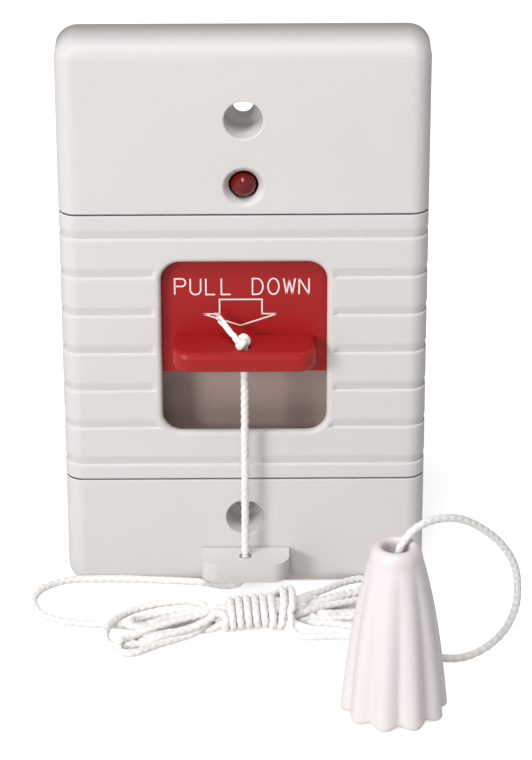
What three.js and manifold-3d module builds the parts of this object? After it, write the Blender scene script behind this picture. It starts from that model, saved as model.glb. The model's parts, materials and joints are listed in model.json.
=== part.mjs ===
// Emergency pull cord alarm on a single gang wall plate, with its cord wound in a hank and its pull bell.
// Millimetres. +X is right, +Z is up, and the wall side faces +Y. The part stands on z = 0, its lower edge.
// Inside the file the plate's front face is y = 0. The exported group is moved in y alone, at the end.
import * as THREE from "three";
import { mergeVertices } from "three/addons/utils/BufferGeometryUtils.js";
import Module from "manifold-3d";

const wasm = await Module();
wasm.setup();

// Clearances
const gap = 0.3; // between two pieces that lie against each other
const reach = 1; // how far a cutter passes the face that it cuts

// Wall plate
const plateWidth = 69.85;
const plateHeight = 114.3;
const plateDepth = 9.9;
const cornerRadius = 4.3;
const edgeRadius = 3.5;
const coverWall = 1.6;
const boxScrewSpacing = 83.34;

// Seams between the three front covers
const seamLowZ = 23.98;
const seamHighZ = 79.82;
const seamWidth = 0.3;
const lipThickness = 1.2;
const lipDepth = 2.2;

// Grip grooves of the centre cover
const grooveCount = 7;
const groovePitch = 7.95;
const grooveWidth = 1.85;
const grooveDepth = 0.5; // at its lower edge, where it ends in a step; it runs out to nothing at its upper edge

// Window of the centre cover
const windowWidth = 31.6;
const windowBottomZ = 34.2;
const windowTopZ = 70;
const windowCornerRadius = 3.8;
const windowChamfer = 0.6;
const windowMargin = 1.1; // smooth rim beyond the chamfer

// Screw wells that lead to the wall box
const wellDiameter = 7.35;
const wellDepth = 7.1;
const wellWall = 1.5;
const mountingHole = 4;

// Indicator lamp
const lampZ = 85.46;
const lampDiameter = 5;
const lampTip = 0.5; // how far the dome stands proud of the plate
const lampFlange = 5.8;
const lampFlangeThickness = 1;
const lampLength = 8.7;
const lampRecess = 7.85;
const lampRecessDepth = 1.4;
const leadSize = 0.5;
const leadSpacing = 2.54;
const leadTail = 2; // what stands out behind the circuit board

// Base frame behind the covers
const panelFront = 8;
const panelThickness = 1.6;

// Cover screws, which come from behind
const coverScrewInset = 7.425; // from the plate's side edge
const coverScrewRise = 9.5; // from the plate's lower edge
const coverScrewDrop = 9.3; // from the plate's upper edge
const screwShaft = 2.2;
const screwHead = 4.6;
const screwHeadHeight = 1.4;
const screwLength = 5;
const cupDiameter = 8;
const cupFloor = 1.4;
const bossDiameter = 5.2;
const driveSize = 2.6;
const driveWidth = 0.6;
const driveDepth = 0.7;

// Slider with its pull shelf
const travel = 10;
const sliderWidth = 41;
const sliderBottomZ = 46.2;
const sliderTopZ = 81.9;
const sliderFront = 2.4;
const sliderThickness = 2;
const shelfWidth = 27.2;
const shelfTopZ = 54;
const shelfThickness = 4;
const shelfReach = 6.8; // ahead of the plate's front face
const shelfCornerRadius = 3.5;
const shelfEdge = 1;
const railWidth = 2;
const railInset = 1.3; // from the slider's side edge to the rail behind it
const guideThickness = 1.6;
const stopHeight = 1.7;

// Cam on the slider's back, and the switch that it works
const switchX = 12;
const camWidth = 3;
const camLift = 0.4;
const camSlope = 0.16;
const leverTipZ = 71;
const leverLength = 12;
const leverThickness = 0.4;
const leverWidth = 3.6;
const leverLean = 1.8; // how far forward of its pivot the tip stands at rest
const knuckleRadius = 0.6;
const plungerFromPivot = 4.9;
const plungerWidth = 2;
const plungerHeight = 1.4;
const plungerLength = 3;
const switchWidth = 5.8;
const switchHeight = 12.8;
const switchDepth = 6.5;
const switchEarWidth = 0.7;
const pinWidth = 0.9;
const pinThickness = 0.5;
const pinPitch = 5.08;
const pinTail = 3;

// Friction spring that holds the slider where it is
const springX = -10;
const springWidth = 5;
const springThickness = 0.4;
const springFootZ = 52;
const springFootLength = 7;
const springCrestZ = 68;
const springScrewHead = 4;
const springScrewHeadHeight = 1;
const springBossDepth = 3;

// Circuit board behind the frame
const boardWidth = 46;
const boardBottomZ = 31;
const boardTopZ = 91;
const boardThickness = 1.6;
const boardCornerRadius = 1.5;
const boardScrewX = 19;
const boardScrewInset = 3.8;
const standoffDiameter = 6;

// Terminal block and resistor on the board's rear face
const terminalCount = 4;
const terminalPitch = 5.08;
const terminalHeight = 8.2;
const terminalDepth = 10;
const terminalChamfer = 2;
const terminalZ = 46;
const terminalScrew = 3.4;
const terminalWell = 4;
const terminalWellDepth = 3;
const terminalEntry = 3;
const terminalEntryDepth = 5;
const resistorZ = 72;
const resistorX = -8;
const resistorLength = 6.3;
const resistorDiameter = 2.4;
const resistorSpan = 10.16;
const resistorLead = 0.6;

// Cord guide on the bottom cover
const guideWidth = 17.2;
const guideReach = 7.3;
const guideBottomZ = 4.9;
const guideHeight = 4;
const guideCornerRadius = 3.6;
const pegDiameter = 3;
const pegSpacing = 10;
const pegLength = 3.4;

// Cord
const cordDiameter = 1.5;
const cordHole = 2.4;
const cordY = -3.6;
const cordSides = 8;
const topKnotRadius = 1.7;
const topKnotX = -0.9; // the knot lies to the left of its hole
const endKnotRadius = 2.7;

// Pull bell
const bellX = 27.4;
const bellY = -45.3;
const bellHeight = 34;
const bellFlutes = 10;
const bellFluteDepth = 0.95;
const bellHemRise = 0.8;
const bellTurn = THREE.MathUtils.degToRad(-13.5);
const bellWall = 1.4;
const bellRoof = 4.2;
const bellHoleRadius = 2.45;
const bellSides = 50;

// Hank that the spare cord is wound in
const hankBase = 0.1;

// Places that several pieces share
const plateMidZ = plateHeight / 2;
const coverScrewX = plateWidth / 2 - coverScrewInset;
const coverScrewHeights = [coverScrewRise, (seamLowZ + seamHighZ) / 2, plateHeight - coverScrewDrop];
const panelBack = panelFront + panelThickness;
const sliderBack = sliderFront + sliderThickness;
const railFront = sliderBack + gap;
const sideInner = sliderWidth / 2 + gap;
const railInner = sliderWidth / 2 - railInset - railWidth;
const stopBottomZ = sliderBottomZ - travel - gap;
const stopTopZ = sliderTopZ + gap;
const camTopHeight = camLift + camSlope * (sliderTopZ - leverTipZ);
const leverTipFront = sliderBack + camLift + gap;
const pivotZ = leverTipZ - leverLength;
const pivotY = leverTipFront + leverLean + leverThickness / 2;
const switchFront = pivotY + knuckleRadius + gap;
const switchBack = switchFront + switchDepth;
const switchBottomZ = pivotZ - 1.5;
const boardFront = switchBack + gap;
const boardBack = boardFront + boardThickness;
const terminalFront = boardBack + gap;
const terminalBack = terminalFront + terminalDepth;
const wellZs = [plateMidZ - boxScrewSpacing / 2, plateMidZ + boxScrewSpacing / 2];
const guideTopZ = guideBottomZ + guideHeight;
const boardScrewZs = [boardBottomZ + boardScrewInset, boardTopZ - boardScrewInset];
const cupFront = panelBack - screwHeadHeight - gap - cupFloor;
const springScrewZ = springFootZ + springFootLength / 2;

// Solids
function solidOf(geometry) {
  const plain = geometry.clone();
  plain.deleteAttribute("normal");
  plain.deleteAttribute("uv");
  const merged = mergeVertices(plain, 1e-4);
  const mesh = new wasm.Mesh({
    numProp: 3,
    vertProperties: merged.attributes.position.array,
    triVerts: Uint32Array.from(merged.index.array),
  });
  return new wasm.Manifold(mesh);
}

function geometryOf(solid) {
  const { vertProperties, triVerts } = solid.getMesh();
  const geometry = new THREE.BufferGeometry();
  geometry.setAttribute("position", new THREE.BufferAttribute(vertProperties, 3));
  geometry.setIndex(new THREE.BufferAttribute(triVerts, 1));
  return geometry;
}

function block(x0, x1, y0, y1, z0, z1) {
  const box = new THREE.BoxGeometry(x1 - x0, y1 - y0, z1 - z0);
  return solidOf(box.translate((x0 + x1) / 2, (y0 + y1) / 2, (z0 + z1) / 2));
}

// A round bar that runs in y from front to back
function bar(diameter, front, back, x, z, sides = 20) {
  const cylinder = new THREE.CylinderGeometry(diameter / 2, diameter / 2, back - front, sides);
  return solidOf(cylinder.translate(x, (front + back) / 2, z));
}

// A turned solid about a line along y, from its half profile of [radius, y] pairs
function turned(profile, x, z, sides = 24) {
  const points = profile.map(([radius, y]) => new THREE.Vector2(radius, y));
  return solidOf(new THREE.LatheGeometry(points, sides).translate(x, 0, z));
}

// An outline drawn in x and z, given thickness from front to back
function sheetOf(shape, front, back) {
  const options = { depth: back - front, bevelEnabled: false, curveSegments: 3 };
  const geometry = new THREE.ExtrudeGeometry(shape, options);
  return solidOf(geometry.rotateX(Math.PI / 2).translate(0, back, 0));
}

function roundedRectangle(width, height, radius, midX, midZ) {
  const [left, right] = [midX - width / 2, midX + width / 2];
  const [low, high] = [midZ - height / 2, midZ + height / 2];
  const quarter = Math.PI / 2;
  const shape = new THREE.Shape();
  shape.absarc(right - radius, low + radius, radius, -quarter, 0);
  shape.absarc(right - radius, high - radius, radius, 0, quarter);
  shape.absarc(left + radius, high - radius, radius, quarter, 2 * quarter);
  shape.absarc(left + radius, low + radius, radius, 2 * quarter, 3 * quarter);
  shape.closePath();
  return shape;
}

// A thin strip along a curve drawn in y and z, given width in x
function strip(line, thickness, width, x) {
  const curve = new THREE.CatmullRomCurve3(line.map(([y, z]) => new THREE.Vector3(y, z, 0)));
  const steps = 3 * (line.length - 1);
  const sides = [[], []];
  for (let i = 0; i <= steps; i++) {
    const point = curve.getPoint(i / steps);
    const along = curve.getTangent(i / steps);
    sides[0].push(new THREE.Vector2(point.x - along.y * thickness / 2, point.y + along.x * thickness / 2));
    sides[1].push(new THREE.Vector2(point.x + along.y * thickness / 2, point.y - along.x * thickness / 2));
  }
  const shape = new THREE.Shape([...sides[0], ...sides[1].reverse()]);
  const geometry = new THREE.ExtrudeGeometry(shape, { depth: width, bevelEnabled: false });
  geometry.applyMatrix4(new THREE.Matrix4().set(0, 0, 1, x - width / 2, 1, 0, 0, 0, 0, 1, 0, 0, 0, 0, 0, 1));
  return solidOf(geometry);
}

// A cord's tube along a smooth route of [x, y, z] points
function tube(route, stepLength = 2.5 * cordDiameter) {
  const curve = new THREE.CatmullRomCurve3(route.map((point) => new THREE.Vector3(...point)), false, "centripetal");
  const section = new THREE.Shape();
  for (let i = 0; i < cordSides; i++) {
    const angle = (i * 2 * Math.PI) / cordSides;
    const [a, b] = [Math.cos(angle) * cordDiameter / 2, Math.sin(angle) * cordDiameter / 2];
    if (i === 0) section.moveTo(a, b);
    else section.lineTo(a, b);
  }
  section.closePath();
  const steps = Math.ceil(curve.getLength() / stepLength);
  return solidOf(new THREE.ExtrudeGeometry(section, { steps, extrudePath: curve, bevelEnabled: false }));
}

// Covers
// The plate's body drawn in by some inset, with its front edge rounded, and longer than the plate is deep
function plateBody(inset) {
  const rounding = edgeRadius - inset;
  const width = plateWidth - 2 * edgeRadius;
  const height = plateHeight - 2 * edgeRadius;
  const shape = roundedRectangle(width, height, cornerRadius - edgeRadius, 0, 0);
  const options = {
    depth: plateDepth,
    bevelThickness: rounding,
    bevelSize: rounding,
    bevelSegments: 4,
    curveSegments: 2,
  };
  const geometry = new THREE.ExtrudeGeometry(shape, options);
  return solidOf(geometry.rotateX(Math.PI / 2).translate(0, inset + rounding + plateDepth, plateMidZ));
}

// Half the plate's section, from its back to the middle of its front, drawn in by some inset
function sectionSide(inset) {
  const points = [[plateWidth / 2 - inset, plateDepth + reach]];
  for (let i = 0; i <= 4; i++) {
    const angle = (i / 4) * (Math.PI / 2);
    const radius = edgeRadius - inset;
    points.push([
      plateWidth / 2 - edgeRadius + radius * Math.cos(angle),
      edgeRadius - radius * Math.sin(angle),
    ]);
  }
  return points;
}

// The body that a groove leaves whole: the plate's full section at its top, drawn in at its bottom
function grooveCore(bottomZ, topZ) {
  const outline = (inset) => {
    const side = sectionSide(inset);
    return [...side, ...side.map(([x, y]) => [-x, y]).reverse()];
  };
  const [low, high] = [outline(grooveDepth), outline(0)];
  const shape = new THREE.Shape(low.map(([x, y]) => new THREE.Vector2(x, y)));
  const geometry = new THREE.ExtrudeGeometry(shape, { depth: 1, bevelEnabled: false });
  const position = geometry.attributes.position;
  for (let i = 0; i < position.count; i++) {
    const corner = low.findIndex(([x, y]) => Math.hypot(x - position.getX(i), y - position.getY(i)) < 1e-4);
    const [x, y] = position.getZ(i) > 0.5 ? high[corner] : low[corner];
    position.setXYZ(i, x, y, position.getZ(i) > 0.5 ? topZ : bottomZ);
  }
  return solidOf(geometry);
}

function coverShell(bottomZ, topZ) {
  const span = block(-plateWidth, plateWidth, -reach, plateDepth, bottomZ, topZ);
  return plateBody(0).intersect(span).subtract(plateBody(coverWall));
}

// A lip that stiffens a cover along its seam, inside the plate
function seamLip(z0, z1) {
  const band = block(-plateWidth, plateWidth, coverWall - 0.5, coverWall + lipDepth, z0, z1);
  const middle = block(-sideInner - guideThickness - gap, sideInner + guideThickness + gap,
    coverWall - reach, plateDepth, z0 - reach, z1 + reach);
  return band.intersect(plateBody(coverWall / 2)).subtract(middle);
}

function addScrewBosses(cover, z) {
  let result = cover;
  for (const x of [-coverScrewX, coverScrewX]) {
    const boss = bar(bossDiameter, coverWall - 0.5, cupFront - gap, x, z, 16);
    const pilot = bar(screwShaft + 2 * gap, coverWall + 0.8, cupFront + reach, x, z, 10);
    result = result.add(boss).subtract(pilot);
  }
  return result;
}

function addWell(cover, z) {
  const tubeWall = bar(wellDiameter + 2 * wellWall, coverWall - 0.5, plateDepth, 0, z, 28);
  const bore = bar(wellDiameter, -reach, wellDepth, 0, z, 28);
  const hole = bar(mountingHole, wellDepth - reach, plateDepth + reach, 0, z, 20);
  return cover.add(tubeWall).subtract(bore).subtract(hole);
}

function topCover() {
  const low = seamHighZ + seamWidth / 2;
  let cover = coverShell(low, plateHeight + reach).add(seamLip(low, low + lipThickness));
  cover = addWell(addScrewBosses(cover, coverScrewHeights[2]), wellZs[1]);
  const opening = lampDiameter / 2 + gap;
  const recess = turned([
    [0, -reach],
    [lampRecess / 2 + reach * 0.6, -reach],
    [opening, lampRecessDepth],
    [opening, coverWall + reach],
    [0, coverWall + reach],
  ], 0, lampZ, 28);
  return cover.subtract(recess);
}

function centreCover() {
  const [low, high] = [seamLowZ + seamWidth / 2, seamHighZ - seamWidth / 2];
  let cover = coverShell(low, high).add(seamLip(low, low + lipThickness));
  cover = cover.add(seamLip(high - lipThickness, high));
  cover = addScrewBosses(cover, coverScrewHeights[1]);
  const windowHeight = windowTopZ - windowBottomZ;
  const windowMidZ = (windowTopZ + windowBottomZ) / 2;
  const outline = roundedRectangle(windowWidth, windowHeight, windowCornerRadius, 0, windowMidZ);
  const flare = new THREE.ExtrudeGeometry(outline, {
    depth: reach,
    bevelThickness: windowChamfer,
    bevelSize: windowChamfer,
    bevelSegments: 1,
    curveSegments: 3,
  });
  const rim = windowChamfer + windowMargin;
  const margin = roundedRectangle(windowWidth + 2 * rim, windowHeight + 2 * rim, windowCornerRadius + rim,
    0, windowMidZ);
  const smoothRim = sheetOf(margin, -2 * reach, coverWall);
  for (let i = 0; i < grooveCount; i++) {
    const z = (low + high) / 2 + (i - (grooveCount - 1) / 2) * groovePitch;
    const [bottom, top] = [z - grooveWidth / 2, z + grooveWidth / 2];
    const slot = block(-plateWidth, plateWidth, -reach, plateDepth + reach, bottom, top);
    cover = cover.subtract(slot.subtract(grooveCore(bottom, top)).subtract(smoothRim));
  }
  return cover
    .subtract(sheetOf(outline, -reach, coverWall + reach))
    .subtract(solidOf(flare.rotateX(Math.PI / 2)));
}

function bottomCover() {
  const high = seamLowZ - seamWidth / 2;
  let cover = coverShell(-reach, high).add(seamLip(high - lipThickness, high));
  cover = addWell(addScrewBosses(cover, coverScrewHeights[0]), wellZs[0]);
  for (const x of [-pegSpacing / 2, pegSpacing / 2]) {
    const z = guideBottomZ + guideHeight / 2;
    cover = cover.subtract(bar(pegDiameter + 2 * gap, -reach, coverWall + reach, x, z, 16));
  }
  return cover;
}

// Base frame
function baseFrame() {
  const inset = coverWall + gap;
  const outline = roundedRectangle(plateWidth - 2 * inset, plateHeight - 2 * inset,
    cornerRadius - coverWall, 0, plateMidZ);
  let frame = sheetOf(outline, panelFront, panelBack);
  for (const side of [-1, 1]) {
    frame = frame.add(sliderTrack(side));
    for (const z of coverScrewHeights) {
      frame = frame.add(bar(cupDiameter, cupFront, panelFront + 0.5, side * coverScrewX, z, 16));
    }
    for (const z of boardScrewZs) {
      frame = frame.add(bar(standoffDiameter, panelBack - 0.5, boardFront - gap, side * boardScrewX, z, 16));
    }
  }
  frame = frame.add(bar(springScrewHead + 1, panelBack - 0.5, panelBack + springBossDepth, springX, springScrewZ, 16));
  return frame.subtract(frameHoles());
}

// Rail behind one side of the slider, the wall beside it, and the stops below and above it
function sliderTrack(side) {
  const [low, high] = [stopBottomZ - stopHeight, stopTopZ + stopHeight];
  const outer = sideInner + guideThickness;
  const sided = (x0, x1, y0, z0, z1) =>
    block(Math.min(side * x0, side * x1), Math.max(side * x0, side * x1), y0, panelFront + 0.5, z0, z1);
  return sided(railInner, railInner + railWidth, railFront, low, high)
    .add(sided(sideInner, outer, coverWall + gap, low, high))
    .add(sided(railInner, outer, coverWall + gap, low, stopBottomZ))
    .add(sided(railInner, outer, coverWall + gap, stopTopZ, high));
}

function frameHoles() {
  const far = boardFront + reach;
  const well = wellDiameter + 2 * wellWall + 2 * gap;
  let holes = bar(well, 0, far, 0, wellZs[0], 28).add(bar(well, 0, far, 0, wellZs[1], 28));
  holes = holes.add(bar(lampFlange + 2 * gap, 0, far, 0, lampZ, 24));
  holes = holes.add(block(switchX - switchWidth / 2 - gap, switchX + switchWidth / 2 + gap, panelFront - reach, far,
    switchBottomZ - gap, switchBottomZ + switchHeight + gap));
  holes = holes.add(bar(screwShaft + 2 * gap, panelFront - reach, far, springX, springScrewZ, 12));
  for (const x of [-1, 1]) {
    for (const z of coverScrewHeights) {
      holes = holes.add(bar(screwHead + 2 * gap, cupFront + cupFloor, far, x * coverScrewX, z, 14));
      holes = holes.add(bar(screwShaft + 2 * gap, 0, far, x * coverScrewX, z, 10));
    }
    for (const z of boardScrewZs) {
      holes = holes.add(bar(screwShaft + 2 * gap, panelBack - reach, far, x * boardScrewX, z, 10));
    }
  }
  return holes;
}

// Screws
// A pan head screw that points to the front, with its head's underside at seat
function rearScrew(seat, x, z, head = screwHead, headHeight = screwHeadHeight, length = screwLength) {
  const body = turned([
    [0, seat - length],
    [screwShaft / 2 * 0.5, seat - length],
    [screwShaft / 2, seat - length + screwShaft / 2],
    [screwShaft / 2, seat],
    [head / 2, seat],
    [head / 2, seat + headHeight * 0.6],
    [head / 2 * 0.7, seat + headHeight],
    [0, seat + headHeight],
  ], x, z, 10);
  const top = seat + headHeight;
  const [half, thin] = [driveSize / 2, driveWidth / 2];
  return body
    .subtract(block(x - half, x + half, top - driveDepth, top + reach, z - thin, z + thin))
    .subtract(block(x - thin, x + thin, top - driveDepth, top + reach, z - half, z + half));
}

function springScrew() {
  const seat = panelFront - gap - springThickness - gap;
  const length = panelBack + springBossDepth - seat - 0.6;
  const body = turned([
    [0, seat + length],
    [screwShaft / 2 * 0.5, seat + length],
    [screwShaft / 2, seat + length - screwShaft / 2],
    [screwShaft / 2, seat],
    [springScrewHead / 2, seat],
    [springScrewHead / 2, seat - springScrewHeadHeight],
    [0, seat - springScrewHeadHeight],
  ].reverse(), springX, springScrewZ, 12);
  const top = seat - springScrewHeadHeight;
  return body.subtract(block(springX - driveSize / 2, springX + driveSize / 2, top - reach, top + driveDepth * 0.7,
    springScrewZ - driveWidth / 2, springScrewZ + driveWidth / 2));
}

// Slider
function shelf() {
  const half = shelfWidth / 2;
  const back = sliderFront + 0.5;
  const quarter = Math.PI / 2;
  const outline = new THREE.Shape();
  const inner = shelfEdge;
  const radius = shelfCornerRadius - inner;
  const [x, y] = [half - inner - radius, -shelfReach + inner + radius];
  outline.absarc(-x, y, radius, 2 * quarter, 3 * quarter);
  outline.absarc(x, y, radius, 3 * quarter, 4 * quarter);
  outline.lineTo(half - inner, back - inner);
  outline.lineTo(-half + inner, back - inner);
  outline.closePath();
  const geometry = new THREE.ExtrudeGeometry(outline, {
    depth: shelfThickness - 2 * shelfEdge,
    bevelThickness: shelfEdge,
    bevelSize: shelfEdge,
    bevelSegments: 2,
    curveSegments: 3,
  });
  return solidOf(geometry.translate(0, 0, shelfTopZ - shelfThickness + shelfEdge));
}

// Wedge on the slider's back that pushes the switch lever as the slider comes down
function cam() {
  const back = sliderBack - 0.5;
  const shape = new THREE.Shape([
    [back, leverTipZ],
    [back, sliderTopZ],
    [sliderBack + camTopHeight, sliderTopZ],
    [sliderBack + camLift, leverTipZ],
    [sliderBack, leverTipZ - 1],
    [back, leverTipZ - 1],
  ].map(([y, z]) => new THREE.Vector2(y, z)));
  const geometry = new THREE.ExtrudeGeometry(shape, { depth: camWidth, bevelEnabled: false });
  const toDepth = new THREE.Matrix4().set(0, 0, 1, switchX - camWidth / 2, 1, 0, 0, 0, 0, 1, 0, 0, 0, 0, 0, 1);
  return solidOf(geometry.applyMatrix4(toDepth));
}

function slider() {
  const height = sliderTopZ - sliderBottomZ;
  const outline = roundedRectangle(sliderWidth, height, 1, 0, sliderBottomZ + height / 2);
  const hole = new THREE.CylinderGeometry(cordHole / 2, cordHole / 2, shelfThickness + 2 * reach, 16);
  hole.rotateX(Math.PI / 2).translate(0, cordY, shelfTopZ - shelfThickness / 2);
  return sheetOf(outline, sliderFront, sliderBack).add(shelf()).add(cam()).subtract(solidOf(hole));
}

// Friction spring
function frictionSpring() {
  const flat = panelFront - gap - springThickness / 2;
  const crest = railFront + springThickness / 2;
  const footTop = springFootZ + springFootLength;
  const line = [
    [flat, springFootZ],
    [flat, springFootZ + springFootLength / 2],
    [flat, footTop],
    [(flat + crest) / 2, (footTop + springCrestZ) / 2],
    [crest, springCrestZ],
    [crest + 0.9, springCrestZ + 2],
  ];
  const hole = bar(screwShaft + 2 * gap, 0, panelBack, springX, springScrewZ, 12);
  return strip(line, springThickness, springWidth, springX).subtract(hole);
}

// Switch
function switchBody() {
  const halfWidth = switchWidth / 2;
  const top = switchBottomZ + switchHeight;
  let body = block(switchX - halfWidth, switchX + halfWidth, switchFront, switchBack, switchBottomZ, top);
  const earZ = [pivotZ - 1.5, pivotZ + 1.5];
  for (const side of [-1, 1]) {
    const [inner, outer] = [side * (halfWidth - switchEarWidth), side * halfWidth];
    body = body.add(block(switchX + Math.min(inner, outer), switchX + Math.max(inner, outer),
      pivotY - knuckleRadius, switchFront + 0.5, ...earZ));
  }
  const plungerZ = pivotZ + plungerFromPivot;
  const slot = block(switchX - plungerWidth / 2 - gap, switchX + plungerWidth / 2 + gap, switchFront - reach,
    switchFront + plungerLength + 1, plungerZ - plungerHeight / 2 - gap, plungerZ + plungerHeight / 2 + gap);
  return body.subtract(slot);
}

function switchLever() {
  const tip = leverTipFront + leverThickness / 2;
  const line = [
    [pivotY, pivotZ],
    [pivotY - leverLean / 2, pivotZ + leverLength / 2],
    [tip, leverTipZ],
    [tip + 0.5, leverTipZ + 0.9],
  ];
  const blade = strip(line, leverThickness, leverWidth, switchX);
  const knuckle = new THREE.CylinderGeometry(knuckleRadius, knuckleRadius, leverWidth, 10);
  knuckle.rotateZ(Math.PI / 2).translate(switchX, pivotY, pivotZ);
  return blade.add(solidOf(knuckle));
}

function switchPlunger() {
  const z = pivotZ + plungerFromPivot;
  const leverBack = pivotY - leverLean * plungerFromPivot / leverLength + leverThickness / 2;
  const front = leverBack + gap;
  return block(switchX - plungerWidth / 2, switchX + plungerWidth / 2, front, front + plungerLength,
    z - plungerHeight / 2, z + plungerHeight / 2);
}

const switchPinZs = [0, 1, 2].map((i) => switchBottomZ + switchHeight / 2 + (i - 1) * pinPitch);

function switchPin(index) {
  const z = switchPinZs[index];
  return block(switchX - pinThickness / 2, switchX + pinThickness / 2, switchBack + 0.05, boardBack + pinTail,
    z - pinWidth / 2, z + pinWidth / 2);
}

// Circuit board
function circuitBoard() {
  const height = boardTopZ - boardBottomZ;
  const outline = roundedRectangle(boardWidth, height, boardCornerRadius, 0, boardBottomZ + height / 2);
  let board = sheetOf(outline, boardFront, boardBack);
  for (const side of [-1, 1]) {
    for (const z of boardScrewZs) {
      board = board.subtract(bar(screwShaft + 2 * gap, boardFront - reach, boardBack + reach, side * boardScrewX, z, 12));
    }
    const x = side * leadSpacing / 2;
    board = board.subtract(bar(leadSize * 1.42 + 2 * gap, boardFront - reach, boardBack + reach, x, lampZ, 8));
    const end = resistorX + side * resistorSpan / 2;
    board = board.subtract(bar(resistorLead * 1.42 + 2 * gap, boardFront - reach, boardBack + reach, end, resistorZ, 8));
  }
  for (const z of switchPinZs) {
    board = board.subtract(block(switchX - pinThickness / 2 - gap, switchX + pinThickness / 2 + gap,
      boardFront - reach, boardBack + reach, z - pinWidth / 2 - gap, z + pinWidth / 2 + gap));
  }
  return board;
}

// Lamp
const lampBack = lampLength - lampTip;

function lamp() {
  const radius = lampDiameter / 2;
  const profile = [];
  for (let i = 0; i <= 6; i++) {
    const angle = (i / 6) * (Math.PI / 2);
    profile.push([radius * Math.sin(angle), radius - lampTip - radius * Math.cos(angle)]);
  }
  profile.push([radius, lampBack - lampFlangeThickness]);
  profile.push([lampFlange / 2, lampBack - lampFlangeThickness]);
  profile.push([lampFlange / 2, lampBack]);
  profile.push([0, lampBack]);
  return turned(profile, 0, lampZ, 24);
}

function lampLead(side) {
  const x = side * leadSpacing / 2;
  return block(x - leadSize / 2, x + leadSize / 2, lampBack + 0.05, boardBack + leadTail,
    lampZ - leadSize / 2, lampZ + leadSize / 2);
}

// Terminal block
const terminalWidth = terminalCount * terminalPitch + 0.8;
const terminalX = (index) => (index - (terminalCount - 1) / 2) * terminalPitch;

function terminalBlock() {
  const [low, high] = [terminalZ - terminalHeight / 2, terminalZ + terminalHeight / 2];
  const shape = new THREE.Shape([
    [terminalFront, low],
    [terminalBack - terminalChamfer, low],
    [terminalBack, low + terminalChamfer],
    [terminalBack, high - terminalChamfer / 2],
    [terminalBack - terminalChamfer / 2, high],
    [terminalFront, high],
  ].map(([y, z]) => new THREE.Vector2(y, z)));
  const geometry = new THREE.ExtrudeGeometry(shape, { depth: terminalWidth, bevelEnabled: false });
  const toDepth = new THREE.Matrix4().set(0, 0, 1, -terminalWidth / 2, 1, 0, 0, 0, 0, 1, 0, 0, 0, 0, 0, 1);
  let housing = solidOf(geometry.applyMatrix4(toDepth));
  for (let i = 0; i < terminalCount; i++) {
    const x = terminalX(i);
    housing = housing.subtract(bar(terminalWell, terminalBack - terminalWellDepth, terminalBack + reach, x, terminalZ, 16));
    housing = housing.subtract(block(x - terminalEntry / 2, x + terminalEntry / 2, terminalFront + 1.5,
      terminalFront + 1.5 + terminalEntry, low - reach, low + terminalEntryDepth));
  }
  return housing;
}

function terminalScrewHead(index) {
  const floor = terminalBack - terminalWellDepth + gap;
  const top = floor + terminalWellDepth * 0.6;
  const head = bar(terminalScrew, floor, top, terminalX(index), terminalZ, 14);
  return head.subtract(block(terminalX(index) - terminalScrew, terminalX(index) + terminalScrew,
    top - 0.6, top + reach, terminalZ - 0.3, terminalZ + 0.3));
}

// Resistor, which lies on the board with its leads bent through it
function resistor() {
  const y = boardBack + gap + resistorDiameter / 2;
  const body = new THREE.CapsuleGeometry(resistorDiameter / 2, resistorLength - resistorDiameter, 3, 12);
  const half = resistorSpan / 2 + resistorLead / 2;
  const wire = block(resistorX - half, resistorX + half, y - resistorLead / 2, y + resistorLead / 2,
    resistorZ - resistorLead / 2, resistorZ + resistorLead / 2);
  let part = solidOf(body.rotateZ(Math.PI / 2).translate(resistorX, y, resistorZ)).add(wire);
  for (const side of [-1, 1]) {
    const x = resistorX + side * resistorSpan / 2;
    part = part.add(block(x - resistorLead / 2, x + resistorLead / 2, boardFront - 1, y,
      resistorZ - resistorLead / 2, resistorZ + resistorLead / 2));
  }
  return part;
}

// Cord guide
function cordGuide() {
  const half = guideWidth / 2;
  const quarter = Math.PI / 2;
  const [x, y] = [half - guideCornerRadius, -guideReach + guideCornerRadius];
  const outline = new THREE.Shape();
  outline.absarc(-x, y, guideCornerRadius, 2 * quarter, 3 * quarter);
  outline.absarc(x, y, guideCornerRadius, 3 * quarter, 4 * quarter);
  outline.lineTo(half, -gap);
  outline.lineTo(-half, -gap);
  outline.closePath();
  const hole = new THREE.Path();
  hole.absarc(0, cordY, cordHole / 2, 0, 2 * Math.PI, true);
  outline.holes.push(hole);
  const geometry = new THREE.ExtrudeGeometry(outline, { depth: guideHeight, bevelEnabled: false, curveSegments: 6 });
  let guide = solidOf(geometry.translate(0, 0, guideBottomZ));
  for (const pegX of [-pegSpacing / 2, pegSpacing / 2]) {
    guide = guide.add(bar(pegDiameter, -1, pegLength, pegX, guideBottomZ + guideHeight / 2, 16));
  }
  return guide;
}

// Cord
// Knot on the shelf, with the cord's end through the shelf below it and its loose tail above it
function topKnot() {
  const seat = shelfTopZ + gap;
  const ball = new THREE.IcosahedronGeometry(topKnotRadius, 1).scale(1.15, 1, 0.9);
  ball.translate(topKnotX, cordY, seat + topKnotRadius * 0.9);
  const through = tube([[0, cordY, shelfTopZ - shelfThickness], [0, cordY, seat + 1]], 10);
  const tail = tube([
    [topKnotX - 0.6, cordY, seat + topKnotRadius],
    [-2.6, cordY + 1, seat + 2.4],
    [-3.8, cordY + 2.3, seat + 3.2],
    [-4.9, cordY + 3.6, seat + 4.3],
  ]);
  return solidOf(ball).add(through).add(tail);
}

// The straight stretch from the shelf to the guide, which grows shorter as the slider comes down
function cordDrop() {
  const [low, high] = [guideTopZ + 2 * gap, shelfTopZ - shelfThickness - gap];
  return tube([[0, cordY, low], [0, cordY, (low + high) / 2], [0, cordY, high]], 10);
}

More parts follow.
